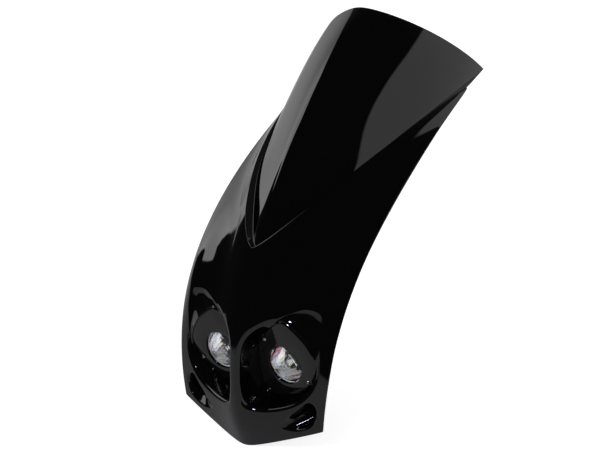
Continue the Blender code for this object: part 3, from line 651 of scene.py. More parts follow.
def grainPattern(tree, spacing, detail=2.0, roughness=0.5):
    # fractal noise whose grains are about spacing millimetres apart on the object
    place = addNode(tree, "ShaderNodeTexCoord")
    noise = addNode(tree, "ShaderNodeTexNoise", {"Vector": place.outputs["Object"], "Scale": 1000.0 / spacing,
                                                 "Detail": detail, "Roughness": roughness})
    return noise.outputs["Fac"]


def dressShader(tree, shader, pattern, tones, roughness, relief, bump, span=(0.3, 0.7), tone=None):
    # colour between two tones, roughness between two values over the pattern's span, and relief
    color = addNode(tree, "ShaderNodeMix", {0: tone or pattern, 6: toLinear(tones[0]), 7: toLinear(tones[1])},
                    data_type="RGBA")
    tree.links.new(color.outputs[2], shader.inputs["Base Color"])
    gloss = addNode(tree, "ShaderNodeMapRange", {"Value": pattern, "From Min": span[0], "From Max": span[1],
                                                 "To Min": roughness[0], "To Max": roughness[1]})
    tree.links.new(gloss.outputs["Result"], shader.inputs["Roughness"])
    bumpy = addNode(tree, "ShaderNodeBump", {"Height": relief, "Strength": bump[0], "Distance": bump[1]})
    tree.links.new(bumpy.outputs["Normal"], shader.inputs["Normal"])


# Black polyester gelcoat from a polished mould: wet gloss over a trace of the laminate's waviness
def blackGelcoat():
    made, tree, shader = newMaterial("blackGelcoatPolishedMould")
    shader.inputs["IOR"].default_value = 1.54
    wave = grainPattern(tree, 38.0, 1.0)          # laminate print-through, 38 mm
    haze = grainPattern(tree, 16.0, 4.0)          # polishing haze, 16 mm
    dressShader(tree, shader, haze, ("#040405", "#070708"), (0.018, 0.045), wave, (0.05, 0.001))
    return made


# Back of a hand-laid shell: chopped-strand mat wetted out with black resin, matt with shiny fibre ends
def glassMatLaminate():
    made, tree, shader = newMaterial("choppedStrandLaminate")
    shader.inputs["IOR"].default_value = 1.54
    place = addNode(tree, "ShaderNodeTexCoord").outputs["Object"]
    strands = []
    for turn, stretch in (((0.9, 0.4, 0.6), (1.0, 5.0, 1.0)), ((-0.5, 1.1, -0.8), (5.0, 1.0, 1.0))):
        turned = addNode(tree, "ShaderNodeMapping", {"Vector": place, "Rotation": turn, "Scale": stretch})
        noise = addNode(tree, "ShaderNodeTexNoise", {       # strands 9 mm apart
            "Vector": turned.outputs["Vector"], "Scale": 1000.0 / 9.0, "Detail": 3.0, "Distortion": 1.5})
        strands.append(noise.outputs["Fac"])
    mat = addNode(tree, "ShaderNodeMath", {0: strands[0], 1: strands[1]}, operation="MAXIMUM").outputs[0]
    tone = addNode(tree, "ShaderNodeMapRange", {"Value": mat, "From Min": 0.45, "From Max": 0.8})
    dressShader(tree, shader, mat, ("#17181a", "#3c3b36"), (0.62, 0.34), mat, (0.7, 0.0008), (0.4, 0.8),
                tone.outputs["Result"])
    return made


# The small moulded, cast and plated pieces: a tone, its fine mottling and a gloss that varies
def finishedSurface(name, light, dark, roughness, grain, depth, metallic=0.0, ior=1.5):
    made, tree, shader = newMaterial(name)
    shader.inputs["Metallic"].default_value = metallic
    if metallic < 0.5:
        shader.inputs["IOR"].default_value = ior
    mottle = grainPattern(tree, grain, 4.0, 0.6)
    dressShader(tree, shader, mottle, (dark, light), roughness, mottle, (0.3, depth))
    return made


# Dichroic mirror on pressed glass: silver with facets that lean to rose, violet, blue and amber
def dichroicMirror():
    made, tree, shader = newMaterial("dichroicMirrorCoat")
    shader.inputs["Metallic"].default_value = 1.0
    shader.inputs["Roughness"].default_value = 0.06
    facet = addNode(tree, "ShaderNodeAttribute", attribute_name="facetTint")
    ramp = addNode(tree, "ShaderNodeValToRGB", {"Fac": facet.outputs["Fac"]})
    stops = ramp.color_ramp.elements
    for place, tint in ((0.0, "#f6f6fa"), (0.3, "#dcdcec"), (0.45, "#cb9295"), (0.62, "#b98fb0"),
                        (0.8, "#f1e6c6"), (1.0, "#fbfaff")):
        stop = stops[0] if place == 0.0 else stops[-1] if place == 1.0 else stops.new(place)
        stop.position = place
        stop.color = toLinear(tint)
    tree.links.new(ramp.outputs["Color"], shader.inputs["Base Color"])
    return made


# Clear pressed glass and fused quartz: tint and a slight surface ripple
def clearGlass(name, tint, ior, ripple):
    made, tree, shader = newMaterial(name)
    shader.inputs["Base Color"].default_value = toLinear(tint)
    shader.inputs["Transmission Weight"].default_value = 1.0
    shader.inputs["IOR"].default_value = ior
    shader.inputs["Roughness"].default_value = 0.0
    wave = grainPattern(tree, 6.0, 1.0)           # pressing ripple, 6 mm
    bump = addNode(tree, "ShaderNodeBump", {"Height": wave, "Strength": ripple, "Distance": 0.0005})
    tree.links.new(bump.outputs["Normal"], shader.inputs["Normal"])
    return made


# Finishes, named for the real material and how its surface was made
gelcoat = blackGelcoat()
laminate = glassMatLaminate()
trimmedEdge = finishedSurface("sawnAndSandedLaminateEdge", "#1d1d1d", "#0c0c0d", (0.3, 0.5), 1.5, 0.0001)
plateGloss = finishedSurface("glossBlackPlate", "#121213", "#0b0b0c", (0.03, 0.07), 20.0, 0.00002)
mirrorCoat = dichroicMirror()
frontGlassClear = clearGlass("pressedClearGlass", "#f7fbfb", 1.50, 0.15)
quartzClear = clearGlass("fusedQuartz", "#fbfcfd", 1.46, 0.05)
steatite = finishedSurface("firedSteatite", "#ded7c8", "#c8c0ae", (0.55, 0.75), 1.2, 0.0002, ior=1.6)
zincPlate = finishedSurface("brightZincPlate", "#c9cbd0", "#a9acb2", (0.16, 0.34), 0.8, 0.00003, 1.0)
nickelPlate = finishedSurface("brightNickelPlate", "#c2bcae", "#a8a294", (0.12, 0.26), 0.8, 0.00003, 1.0)
mouldedNylon = finishedSurface("mouldedBlackNylon", "#202021", "#151516", (0.38, 0.55), 0.7, 0.0001, ior=1.53)
castResin = finishedSurface("castFilledResin", "#4c4d49", "#343532", (0.5, 0.8), 2.0, 0.0004, ior=1.54)
tungsten = finishedSurface("drawnTungsten", "#8d8a86", "#6f6c69", (0.3, 0.45), 0.3, 0.00001, 1.0)


def finish(piece, node):
    # the last step for each piece that stands for CAD nodes
    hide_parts(*([node] if isinstance(node, str) else node))
    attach(piece, "root")


shell = buildShell()
for made in (gelcoat, laminate, trimmedEdge):
    shell.data.materials.append(made)
finish(shell, "fairing_shell")


# Lamp plate: gloss sheet behind the rim, with a broken front edge
plateSizes = {
    "holeRadius": 24.5,
    "edgeBreak": 0.35,
    "holeBreak": 0.12,
    "screwHoleRadius": 1.85,
    "screwInset": 3.2,
    "screwStations": (4, 14),       # recess stations that the two screws sit beside
    "holeSegments": 96,
    "screwHoleSegments": 32,
    "breakSteps": 3,
}


def placeFromLamp(points, side):
    # (x, z, height in front of the plate) beside the lamp to object coordinates in metres
    points = np.asarray(points, float)
    return fromDrawing(np.stack([side * (points[:, 0] + lampCentre[0]), -points[:, 2], points[:, 1]], axis=1))


def meshObject(name, points, faces, side, material, angle):
    # edges sharper than the angle stay sharp
    mesh = bpy.data.meshes.new(name)
    mesh.from_pydata(placeFromLamp(points, side).tolist(), [], faces)
    mendMesh(mesh, merge=0.002)
    mesh.shade_smooth()
    mesh.set_sharp_from_angle(angle=math.radians(angle))
    made = bpy.data.objects.new(name, mesh)
    mesh.materials.append(material)
    scene.collection.objects.link(made)
    return made


def circleLoop(radius, count, centre=(0.0, 0.0)):
    angle = np.linspace(0.0, 2.0 * math.pi, count, endpoint=False)
    return np.stack([centre[0] + radius * np.cos(angle), centre[1] + radius * np.sin(angle)], axis=1)


def screwPlaces():
    edges = np.array([recessSizes["stations"][index][1] for index in plateSizes["screwStations"]])
    return towardPoint(edges, lampCentre, np.full(len(edges), plateSizes["screwInset"])) - lampCentre


def fillBetween(rings, points):
    # triangles between the first ring and the holes in it
    flat = points[np.concatenate(rings), :2]
    edges = []
    for ring in rings:
        edges += ringEdges(edges[-1][0] + 1 if edges else 0, len(ring))
    found = np.array(delaunay_2d_cdt([Vector(p) for p in flat], edges, [], 0, 1e-7)[2])
    middle = flat[found].mean(axis=1)
    keep = isInside(middle, points[rings[0], :2])
    for ring in rings[1:]:
        keep &= ~isInside(middle, points[ring, :2])
    names = np.concatenate(rings)
    return [tuple(names[face]) for face in found[keep]]


def buildPlate(label, side):
    outline = ringTable(recessSizes["stations"], recessSizes["segments"])[1]
    outline = outline - outwardOf(outline) * recessSizes["gap"] - lampCentre
    hole = circleLoop(plateSizes["holeRadius"], plateSizes["holeSegments"])
    loops = [(outline, plateSizes["edgeBreak"]), (hole, plateSizes["edgeBreak"])]
    for place in screwPlaces():
        loops.append((circleLoop(plateSizes["screwHoleRadius"], plateSizes["screwHoleSegments"], place),
                      plateSizes["holeBreak"]))
    points, faces, fronts, backs = [], [], [], []
    count = 0
    for loop, bevel in loops:
        if loop is outline:
            inset = loop - outwardOf(loop) * bevel
        else:
            centre = loop.mean(axis=0)
            inset = centre + (loop - centre) * (1.0 + bevel / np.linalg.norm(loop[0] - centre))
        size = len(loop)
        rows = [np.c_[loop + (inset - loop) * (1 - math.sin(a)), np.full(size, -bevel * (1 - math.cos(a)))]
                for a in np.linspace(0.0, math.pi / 2, plateSizes["breakSteps"] + 1)]
        rows.append(np.c_[loop, np.full(size, -recessSizes["plateThickness"])])
        faces += shifted(gridFaces(len(rows), size), count)
        points += rows
        fronts.append(np.arange(count, count + size))
        count += len(rows) * size
        backs.append(np.arange(count - size, count))
    points = np.concatenate(points)
    faces += fillBetween(fronts, points) + fillBetween(backs, points)
    plate = meshObject(label + "LampPlate", points, faces, side, plateGloss, 35.0)
    finish(plate, label + "_lamp_plate")


# Reflector lamp: 50 mm pressed bowl with rows of pillow facets, plain rim, neck and cemented base
lampSizes = {
    "radius": 25.3,
    "rimDepth": 3.2,
    "rimWall": 1.3,
    "rimBreak": 0.4,
    "bowlDepth": 30.0,
    "wall": 1.6,
    "neckRadius": 8.5,
    "neckLength": 6.0,
    "glassThickness": 1.4,
    "glassEdge": 0.35,
    "capsuleRadius": 4.5,
    "capsuleLength": 20.0,
    "capsuleWall": 0.9,
    "capsuleSeat": 0.5,         # its foot in front of the neck's end
    "pinch": 7.0,               # solid foot of the capsule
    "capsuleCorners": (0.5, 1.5),   # at the foot, outside and inside
    "capsuleSegments": 48,
    "throatGap": 0.8,
    "facetRows": 9,
    "facetSectors": 36,
    "facetCells": 4,
    "facetPillow": 0.16,
    "outlineSteps": 24,
    "domeSteps": 12,
    "facetBand": 3.3,           # depth of one row of tints
    "roseShare": 0.65,          # the rose facets: share of the mouth, middle height and reach
    "roseHeight": (4.0, 5.0),
    "ringWall": 4.3,
    "ringDepth": 5.0,
    "ringLip": 0.9,
    "ringBreak": 0.6,
    "segments": 96,
}
frontLevel = -recessSizes["plateThickness"] - recessSizes["gap"]
neckEnd = frontLevel - lampSizes["bowlDepth"] - lampSizes["neckLength"]
capsuleFoot = neckEnd + lampSizes["capsuleSeat"]


def lathe(label, side, profile, material, segments=lampSizes["segments"]):
    # profile points (radius, height) of a turned piece on the lamp's axis, radius 0 at closed ends
    isRing = profile[0][0] > 0.0 or profile[-1][0] > 0.0
    points = np.concatenate([np.c_[circleLoop(radius, segments), np.full(segments, height)]
                             for radius, height in profile])
    made = meshObject(label, points, gridFaces(len(profile), segments, wrapped=isRing), side, material, 30.0)
    mendMesh(made.data, collapse=0.001)
    return made


def buildReflector(label, side):
    sizes = lampSizes
    bowl = sizes["radius"] - sizes["rimWall"]
    mouth = bowl - sizes["wall"]
    throat = sizes["capsuleRadius"] + sizes["throatGap"]
    back = frontLevel - sizes["bowlDepth"]
    seat = frontLevel - sizes["glassThickness"] - recessSizes["gap"]
    rows = sizes["facetRows"] * sizes["facetCells"]
    columns = sizes["facetSectors"] * sizes["facetCells"]
    u = np.linspace(0.0, 1.0, rows + 1)[:, None]
    v = np.linspace(0.0, 1.0, columns, endpoint=False)[None, :]
    cosine, sine = np.cos(0.5 * math.pi * u), np.sin(0.5 * math.pi * u)
    stagger = 0.5 * (np.floor(np.minimum(u, 0.9999) * sizes["facetRows"]) % 2)
    pillow = np.abs(np.sin(math.pi * u * sizes["facetRows"])) * np.abs(
        np.sin(math.pi * (v * sizes["facetSectors"] + stagger))) * sizes["facetPillow"]
    radius = mouth + (throat - mouth) * (1.0 - cosine) - pillow * cosine
    height = seat + (back + sizes["wall"] - seat) * sine + pillow * sine
    # outer wall, neck and rim close the bowl
    outline = [(throat, neckEnd), (sizes["neckRadius"], neckEnd)]
    dishTop = frontLevel - sizes["rimDepth"]
    for a in np.linspace(0.5 * math.pi, 0.0, sizes["outlineSteps"] + 1):
        outline.append((bowl + (sizes["neckRadius"] - bowl) * (1.0 - math.cos(a)),
                        dishTop + (back - dishTop) * math.sin(a)))
    outline += [(sizes["radius"], dishTop), (sizes["radius"], frontLevel - sizes["rimBreak"]),
                (sizes["radius"] - sizes["rimBreak"], frontLevel), (bowl, frontLevel), (bowl, seat)]
    radius = np.vstack([radius] + [np.full((1, columns), r) for r, _ in outline])
    height = np.vstack([height] + [np.full((1, columns), h) for _, h in outline])
    angle = 2.0 * math.pi * v
    points = np.stack([radius * np.cos(angle), radius * np.sin(angle), height], axis=-1).reshape(-1, 3)
    faces = gridFaces(len(radius), columns, wrapped=True)
    reflector = meshObject(label + "Reflector", points, faces, side, mirrorCoat, 18.0)
    centres = np.array([face.center for face in reflector.data.polygons])
    x, y, z = (centres / mm - drawingShift).T
    x = x * side - lampCentre[0]
    around = np.floor((np.arctan2(z, x) / (2 * math.pi) % 1.0) * sizes["facetSectors"])
    ring = np.floor((seat + y) / sizes["facetBand"])
    tint = np.modf(np.sin(around * 12.9898 + ring * 78.233) * 43758.5453)[0] % 1.0   # scattered, 0 to 1
    # a place on the mirror's ramp: most facets are silver, some amber; rose ones gather at one side of
    # the mouth
    roseMiddle, roseReach = sizes["roseHeight"]
    isRose = (x < -sizes["roseShare"] * mouth) & (np.abs(z - roseMiddle) < roseReach)
    tint = np.where(isRose, 0.42 + 0.2 * tint, np.where(tint < 0.75, 0.3 * tint, 0.1 + 0.9 * tint))
    wanted = reflector.data.attributes.new("facetTint", "FLOAT", "FACE")
    wanted.data.foreach_set("value", tint.astype(np.float32))
    finish(reflector, label + "_reflector")


def roundedDisc(radius, front, back, edge):
    # profile from the middle of the front round to the middle of the back
    mid = edge * 0.3
    return [(0.0, front), (radius - edge, front), (radius - mid, front - mid), (radius, front - edge),
            (radius, back + edge), (radius - mid, back + mid), (radius - edge, back), (0.0, back)]


def buildLamp(label, side):
    sizes = lampSizes
    gap = recessSizes["gap"]
    buildReflector(label, side)
    disc = roundedDisc(sizes["radius"] - sizes["rimWall"] - gap, frontLevel,
                       frontLevel - sizes["glassThickness"], sizes["glassEdge"])
    glass = lathe(label + "FrontGlass", side, disc, frontGlassClear)
    finish(glass, label + "_front_glass")

    # the capsule: a domed tube with a pinched, solid foot
    shoulder = capsuleFoot + sizes["capsuleLength"]
    outerCorner, innerCorner = sizes["capsuleCorners"]
    walls = []
    for name, wall, foot, corner in (
            ("BulbCapsule", 0.0, capsuleFoot, outerCorner),
            ("BulbCapsuleHollow", sizes["capsuleWall"], capsuleFoot + sizes["pinch"], innerCorner)):
        radius = sizes["capsuleRadius"] - wall
        profile = [(radius * math.sin(a), shoulder + radius * math.cos(a))
                   for a in np.linspace(0.0, 0.5 * math.pi, sizes["domeSteps"] + 1)]
        profile += [(radius, foot + corner), (radius - corner, foot), (0.0, foot)]
        walls.append(lathe(label + name, side, profile, quartzClear, sizes["capsuleSegments"]))
    capsule, hollow = walls
    work = bmesh.new()
    work.from_mesh(capsule.data)
    outside = len(work.faces)
    work.from_mesh(hollow.data)
    bmesh.ops.reverse_faces(work, faces=list(work.faces)[outside:])
    work.to_mesh(capsule.data)
    work.free()
    bpy.data.objects.remove(hollow)
    finish(capsule, label + "_bulb_capsule")

    ringBack = frontLevel - sizes["ringDepth"]
    ringOut = sizes["radius"] + sizes["ringWall"]
    ringIn = sizes["radius"] - sizes["ringLip"]
    bore = sizes["radius"] + gap
    lipFront = frontLevel - sizes["rimDepth"] - gap
    ring = lathe(label + "RetainingRing", side, [
        (bore, frontLevel), (ringOut, frontLevel), (ringOut, ringBack + sizes["ringBreak"]),
        (ringOut - sizes["ringBreak"], ringBack), (ringIn, ringBack), (ringIn, lipFront), (bore, lipFront)],
        mouldedNylon)
    finish(ring, label + "_retaining_ring")


# Screws: one Geometry Nodes tree makes a cross-head screw on each point of a small mesh
screwSizes = {
    "plate": {"letters": "ab", "facing": -1, "headRadius": 2.6, "headHeight": 1.5, "shankRadius": 1.5},
    "ring": {"letters": "abc", "facing": 1, "headRadius": 1.8, "headHeight": 1.2, "shankRadius": 1.0},
    "crossLength": 1.05,       # share of the head's radius, tip to tip
    "crossWidth": 0.22,        # share of the head's radius
    "crossDepth": 0.6,         # share of the head's height
    "shankOverlap": 0.2,       # of shank and head
    "headSegments": 48,
    "shankSegments": 32,
    "seed": 7,
}


def startTree(name, inputs):
    # a tree that takes and gives one geometry, with its named inputs listed by their kind
    tree = bpy.data.node_groups.new(name, "GeometryNodeTree")
    sockets = {}
    for kind, labels in {"Geometry": ["Geometry"], **inputs, "Material": ["Finish"]}.items():
        for label in labels:
            made = tree.interface.new_socket(name=label, in_out="INPUT", socket_type="NodeSocket" + kind)
            sockets[label] = made.identifier
    tree.interface.new_socket(name="Geometry", in_out="OUTPUT", socket_type="NodeSocketGeometry")
    return tree, sockets, addNode(tree, "NodeGroupInput").outputs


def endTree(tree, geometry, coat):
    real = addNode(tree, "GeometryNodeRealizeInstances", {"Geometry": geometry})
    coated = addNode(tree, "GeometryNodeSetMaterial", {"Geometry": real.outputs[0], "Material": coat})
    addNode(tree, "NodeGroupOutput", {"Geometry": coated.outputs[0]})


def raised(tree, mesh, height):
    place = addNode(tree, "ShaderNodeCombineXYZ", {"Z": height})
    moved = addNode(tree, "GeometryNodeTransform", {"Geometry": mesh, "Translation": place.outputs[0]})
    return moved.outputs[0]


def screwTree():
    tree, sockets, given = startTree("crossHeadScrews", {
        "Float": ["Head Radius", "Head Height", "Ball Radius", "Shank Radius", "Shank Length"],
        "Vector": ["Cross Size", "Tilt"], "Int": ["Seed"]})
    # the head is where a ball and an upright blank overlap
    ball = addNode(tree, "GeometryNodeMeshUVSphere", {
        "Segments": screwSizes["headSegments"], "Rings": screwSizes["headSegments"],
        "Radius": given["Ball Radius"]})
    sink = addNode(tree, "ShaderNodeMath", {0: given["Head Height"], 1: given["Ball Radius"]},
                   operation="SUBTRACT")
    blank = addNode(tree, "GeometryNodeMeshCylinder", {
        "Vertices": screwSizes["headSegments"], "Radius": given["Head Radius"],
        "Depth": given["Head Radius"]})
    half = addNode(tree, "ShaderNodeMath", {0: given["Head Radius"], 1: 0.5}, operation="MULTIPLY")
    dome = addNode(tree, "GeometryNodeMeshBoolean", operation="INTERSECT", solver="MANIFOLD")
    tree.links.new(raised(tree, ball.outputs["Mesh"], sink.outputs[0]), dome.inputs["Mesh 2"])
    tree.links.new(raised(tree, blank.outputs["Mesh"], half.outputs[0]), dome.inputs["Mesh 2"])
    shank = addNode(tree, "GeometryNodeMeshCylinder", {
        "Vertices": screwSizes["shankSegments"], "Radius": given["Shank Radius"],
        "Depth": given["Shank Length"]})
    overlap = screwSizes["shankOverlap"] * mm
    sunk = addNode(tree, "ShaderNodeMath", {0: given["Shank Length"], 1: -0.5, 2: overlap},
                   operation="MULTIPLY_ADD")
    body = addNode(tree, "GeometryNodeMeshBoolean", operation="UNION", solver="MANIFOLD")
    tree.links.new(dome.outputs["Mesh"], body.inputs["Mesh 2"])
    tree.links.new(raised(tree, shank.outputs["Mesh"], sunk.outputs[0]), body.inputs["Mesh 2"])
    screw = addNode(tree, "GeometryNodeMeshBoolean", {"Mesh 1": body.outputs["Mesh"]},
                    operation="DIFFERENCE", solver="MANIFOLD")
    slot = addNode(tree, "GeometryNodeMeshCube", {"Size": given["Cross Size"]})
    top = raised(tree, slot.outputs["Mesh"], given["Head Height"])
    for quarter in (0.0, math.pi / 2):
        cut = addNode(tree, "GeometryNodeTransform", {"Geometry": top, "Rotation": (0.0, 0.0, quarter)})
        tree.links.new(cut.outputs[0], screw.inputs["Mesh 2"])
    # each screw is driven home at its own angle
    turn = addNode(tree, "FunctionNodeRandomValue", {"Seed": given["Seed"]}, data_type="FLOAT")
    turn.inputs[3].default_value = math.pi / 2
    spin = addNode(tree, "ShaderNodeCombineXYZ", {"Z": turn.outputs[1]})
    spin = addNode(tree, "FunctionNodeEulerToRotation", {0: spin.outputs[0]})
    tilt = addNode(tree, "FunctionNodeEulerToRotation", {0: given["Tilt"]})
    turned = addNode(tree, "FunctionNodeRotateRotation", {
        "Rotation": tilt.outputs[0], "Rotate By": spin.outputs[0]}, rotation_space="LOCAL")
    placed = addNode(tree, "GeometryNodeInstanceOnPoints", {
        "Points": given["Geometry"], "Instance": screw.outputs["Mesh"], "Rotation": turned.outputs[0]})
    endTree(tree, placed.outputs[0], given["Finish"])
    return tree, sockets


def frozen(carrier, tree, sockets, values):
    # runs a tree once on the carrier and keeps the mesh that comes out
    modifier = carrier.modifiers.new("make", "NODES")
    modifier.node_group = tree
    for name, value in values.items():
        modifier[sockets[name]] = value
    scene.collection.objects.link(carrier)
    shown = carrier.evaluated_get(bpy.context.evaluated_depsgraph_get())
    mesh = bpy.data.meshes.new_from_object(shown)
    carrier.modifiers.remove(modifier)
    carrier.data = mesh
    mesh.name = carrier.name
    mesh.shade_smooth()
    mesh.set_sharp_from_angle(angle=math.radians(30.0))
    return carrier


def buildScrews(label, kind, tree, sockets):
    sizes = screwSizes[kind]
    nodes = [label + "_" + kind + "_screw_" + letter for letter in sizes["letters"]]
    height, radius = sizes["headHeight"] * mm, sizes["headRadius"] * mm
    seats, length = [], 0.0
    for node in nodes:
        low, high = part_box(node)
        seat = low.y + height if sizes["facing"] < 0 else high.y - height
        seats.append(((low.x + high.x) / 2, seat, (low.z + high.z) / 2))
        length = high.y - low.y - height
    mesh = bpy.data.meshes.new("screwSeats")
    mesh.from_pydata(seats, [], [])
    carrier = bpy.data.objects.new(label + kind.capitalize() + "Screws", mesh)
    width = screwSizes["crossWidth"] * radius
    screws = frozen(carrier, tree, sockets, {
        "Head Radius": radius, "Head Height": height,
        "Ball Radius": (radius ** 2 + height ** 2) / (2 * height),
        "Shank Radius": sizes["shankRadius"] * mm, "Shank Length": length + screwSizes["shankOverlap"] * mm,
        "Cross Size": (screwSizes["crossLength"] * radius, width, 2 * screwSizes["crossDepth"] * height),
        "Tilt": (-sizes["facing"] * math.pi / 2, 0.0, 0.0), "Seed": screwSizes["seed"], "Finish": zincPlate})
    finish(screws, nodes)


# Filament: a coiled wire across the capsule, with its two leads down to the pinch
filamentSizes = {
    "turns": 10.0,
    "coilRadius": 0.75,
    "coilLength": 5.0,
    "wireRadius": 0.14,
    "leadRadius": 0.2,
    "height": 14.5,            # of the coil above the capsule's foot
    "coilSteps": 24,           # points on each turn
    "wireSides": 8,
    "leadSides": 12,
    "leadEnd": 0.5,            # in front of the pinched foot
}


def filamentTree():
    tree, sockets, given = startTree("filamentCoil", {
        "Float": ["Turns", "Coil Radius", "Coil Length", "Wire Radius", "Lead Radius"], "Int": ["Steps"]})
    coil = addNode(tree, "GeometryNodeCurveSpiral", {
        "Resolution": given["Steps"], "Rotations": given["Turns"], "Start Radius": given["Coil Radius"],
        "End Radius": given["Coil Radius"], "Height": given["Coil Length"]})
    leads = addNode(tree, "GeometryNodeMeshToCurve", {"Mesh": given["Geometry"]})
    rods = []
    for curve, name in ((coil, "wire"), (leads, "lead")):
        section = addNode(tree, "GeometryNodeCurvePrimitiveCircle", {
            "Resolution": filamentSizes[name + "Sides"], "Radius": given[name.capitalize() + " Radius"]})
        rod = addNode(tree, "GeometryNodeCurveToMesh", {
            "Curve": curve.outputs[0], "Profile Curve": section.outputs[0], "Fill Caps": True})
        rods.append(rod.outputs[0])
    # the coil lies across the capsule, with its middle on the axis
    start = addNode(tree, "ShaderNodeMath", {0: given["Coil Length"], 1: -0.5}, operation="MULTIPLY")
    shift = addNode(tree, "ShaderNodeCombineXYZ", {"X": start.outputs[0]})
    across = addNode(tree, "GeometryNodeTransform", {
        "Geometry": rods[0], "Translation": shift.outputs[0], "Rotation": (0.0, math.pi / 2, 0.0)})
    both = addNode(tree, "GeometryNodeJoinGeometry")
    tree.links.new(across.outputs[0], both.inputs[0])
    tree.links.new(rods[1], both.inputs[0])
    endTree(tree, both.outputs[0], given["Finish"])
    return tree, sockets


def buildFilament(label, side, tree, sockets):
    sizes = filamentSizes
    half = sizes["coilLength"] / 2
    drop = sizes["height"] - lampSizes["pinch"] - sizes["leadEnd"]
    mesh = bpy.data.meshes.new("filamentLeads")
    lines = [(sign * half, 0.0, level) for sign in (-1, 1) for level in (-drop, 0.0)]
    mesh.from_pydata([tuple(v * mm for v in point) for point in lines], [(0, 1), (2, 3)], [])
    carrier = bpy.data.objects.new(label + "Filament", mesh)
    filament = frozen(carrier, tree, sockets, {
        "Turns": sizes["turns"], "Steps": sizes["coilSteps"], "Coil Radius": sizes["coilRadius"] * mm,
        "Coil Length": sizes["coilLength"] * mm, "Wire Radius": sizes["wireRadius"] * mm,
        "Lead Radius": sizes["leadRadius"] * mm, "Finish": tungsten})
    # from upright to the lamp's axis
    points = readVectors(filament.data.vertices, "co") / mm
    points[:, 2] += capsuleFoot + sizes["height"]
    placed = placeFromLamp(points, side)
    filament.data.vertices.foreach_set("co", placed.astype(np.float32).ravel())
    if side < 0:       # the mirrored one would be inside out
        filament.data.flip_normals()
    filament.data.update()
    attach(filament, "root")


# Pieces whose CAD shape is right: they stay, and get their finish through their objects' own slots
carriedNodes = {
    "lamp_base": steatite, "lamp_holder": steatite, "pin_a": nickelPlate, "pin_b": nickelPlate,
    "plate_nut_a": zincPlate, "plate_nut_b": zincPlate,
    "fixing_boss_lower": castResin, "fixing_boss_upper": castResin,
}


def dressCarried(label):
    for part, made in carriedNodes.items():
        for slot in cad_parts[label + "_" + part].material_slots:
            slot.link = "OBJECT"
            slot.material = made


screwMaker = screwTree()
filamentMaker = filamentTree()
for label, side in (("right", 1), ("left", -1)):
    buildPlate(label, side)
    buildScrews(label, "plate", *screwMaker)
    buildScrews(label, "ring", *screwMaker)
    buildFilament(label, side, *filamentMaker)
    dressCarried(label)
    buildLamp(label, side)
print("plates and lamps built")


# Camera: 72 mm lens, solved from pairs of mirrored points in the photograph
cameraSizes = {
    "lens": 72.0,
    "sensor": 36.0,
    "place": (896.7, -987.1, 668.9),
    "azimuth": 38.881,
    "elevation": 20.696,
    "roll": -7.077,
}


def skyDirection(azimuth, elevation):
    # unit vector away from the object; azimuth 0 is in front and 90 at +X, in degrees
    a, e = math.radians(azimuth), math.radians(elevation)
    return Vector((math.sin(a) * math.cos(e), -math.cos(a) * math.cos(e), math.sin(e)))


def buildCamera():
    sizes = cameraSizes
    back = skyDirection(sizes["azimuth"], sizes["elevation"])
    level = skyDirection(sizes["azimuth"] + 90.0, 0.0)
    up = back.cross(level)
    r = math.radians(sizes["roll"])
    right = level * math.cos(r) + up * math.sin(r)
    up = up * math.cos(r) - level * math.sin(r)
    data = bpy.data.cameras.new("camera")
    data.lens = sizes["lens"]
    data.sensor_width = sizes["sensor"]
    camera = bpy.data.objects.new("camera", data)
    place = Matrix.Translation(Vector(fromDrawing(sizes["place"])))
    camera.matrix_world = place @ Matrix((right, up, back)).transposed().to_4x4()
    scene.collection.objects.link(camera)
    scene.camera = camera


buildCamera()


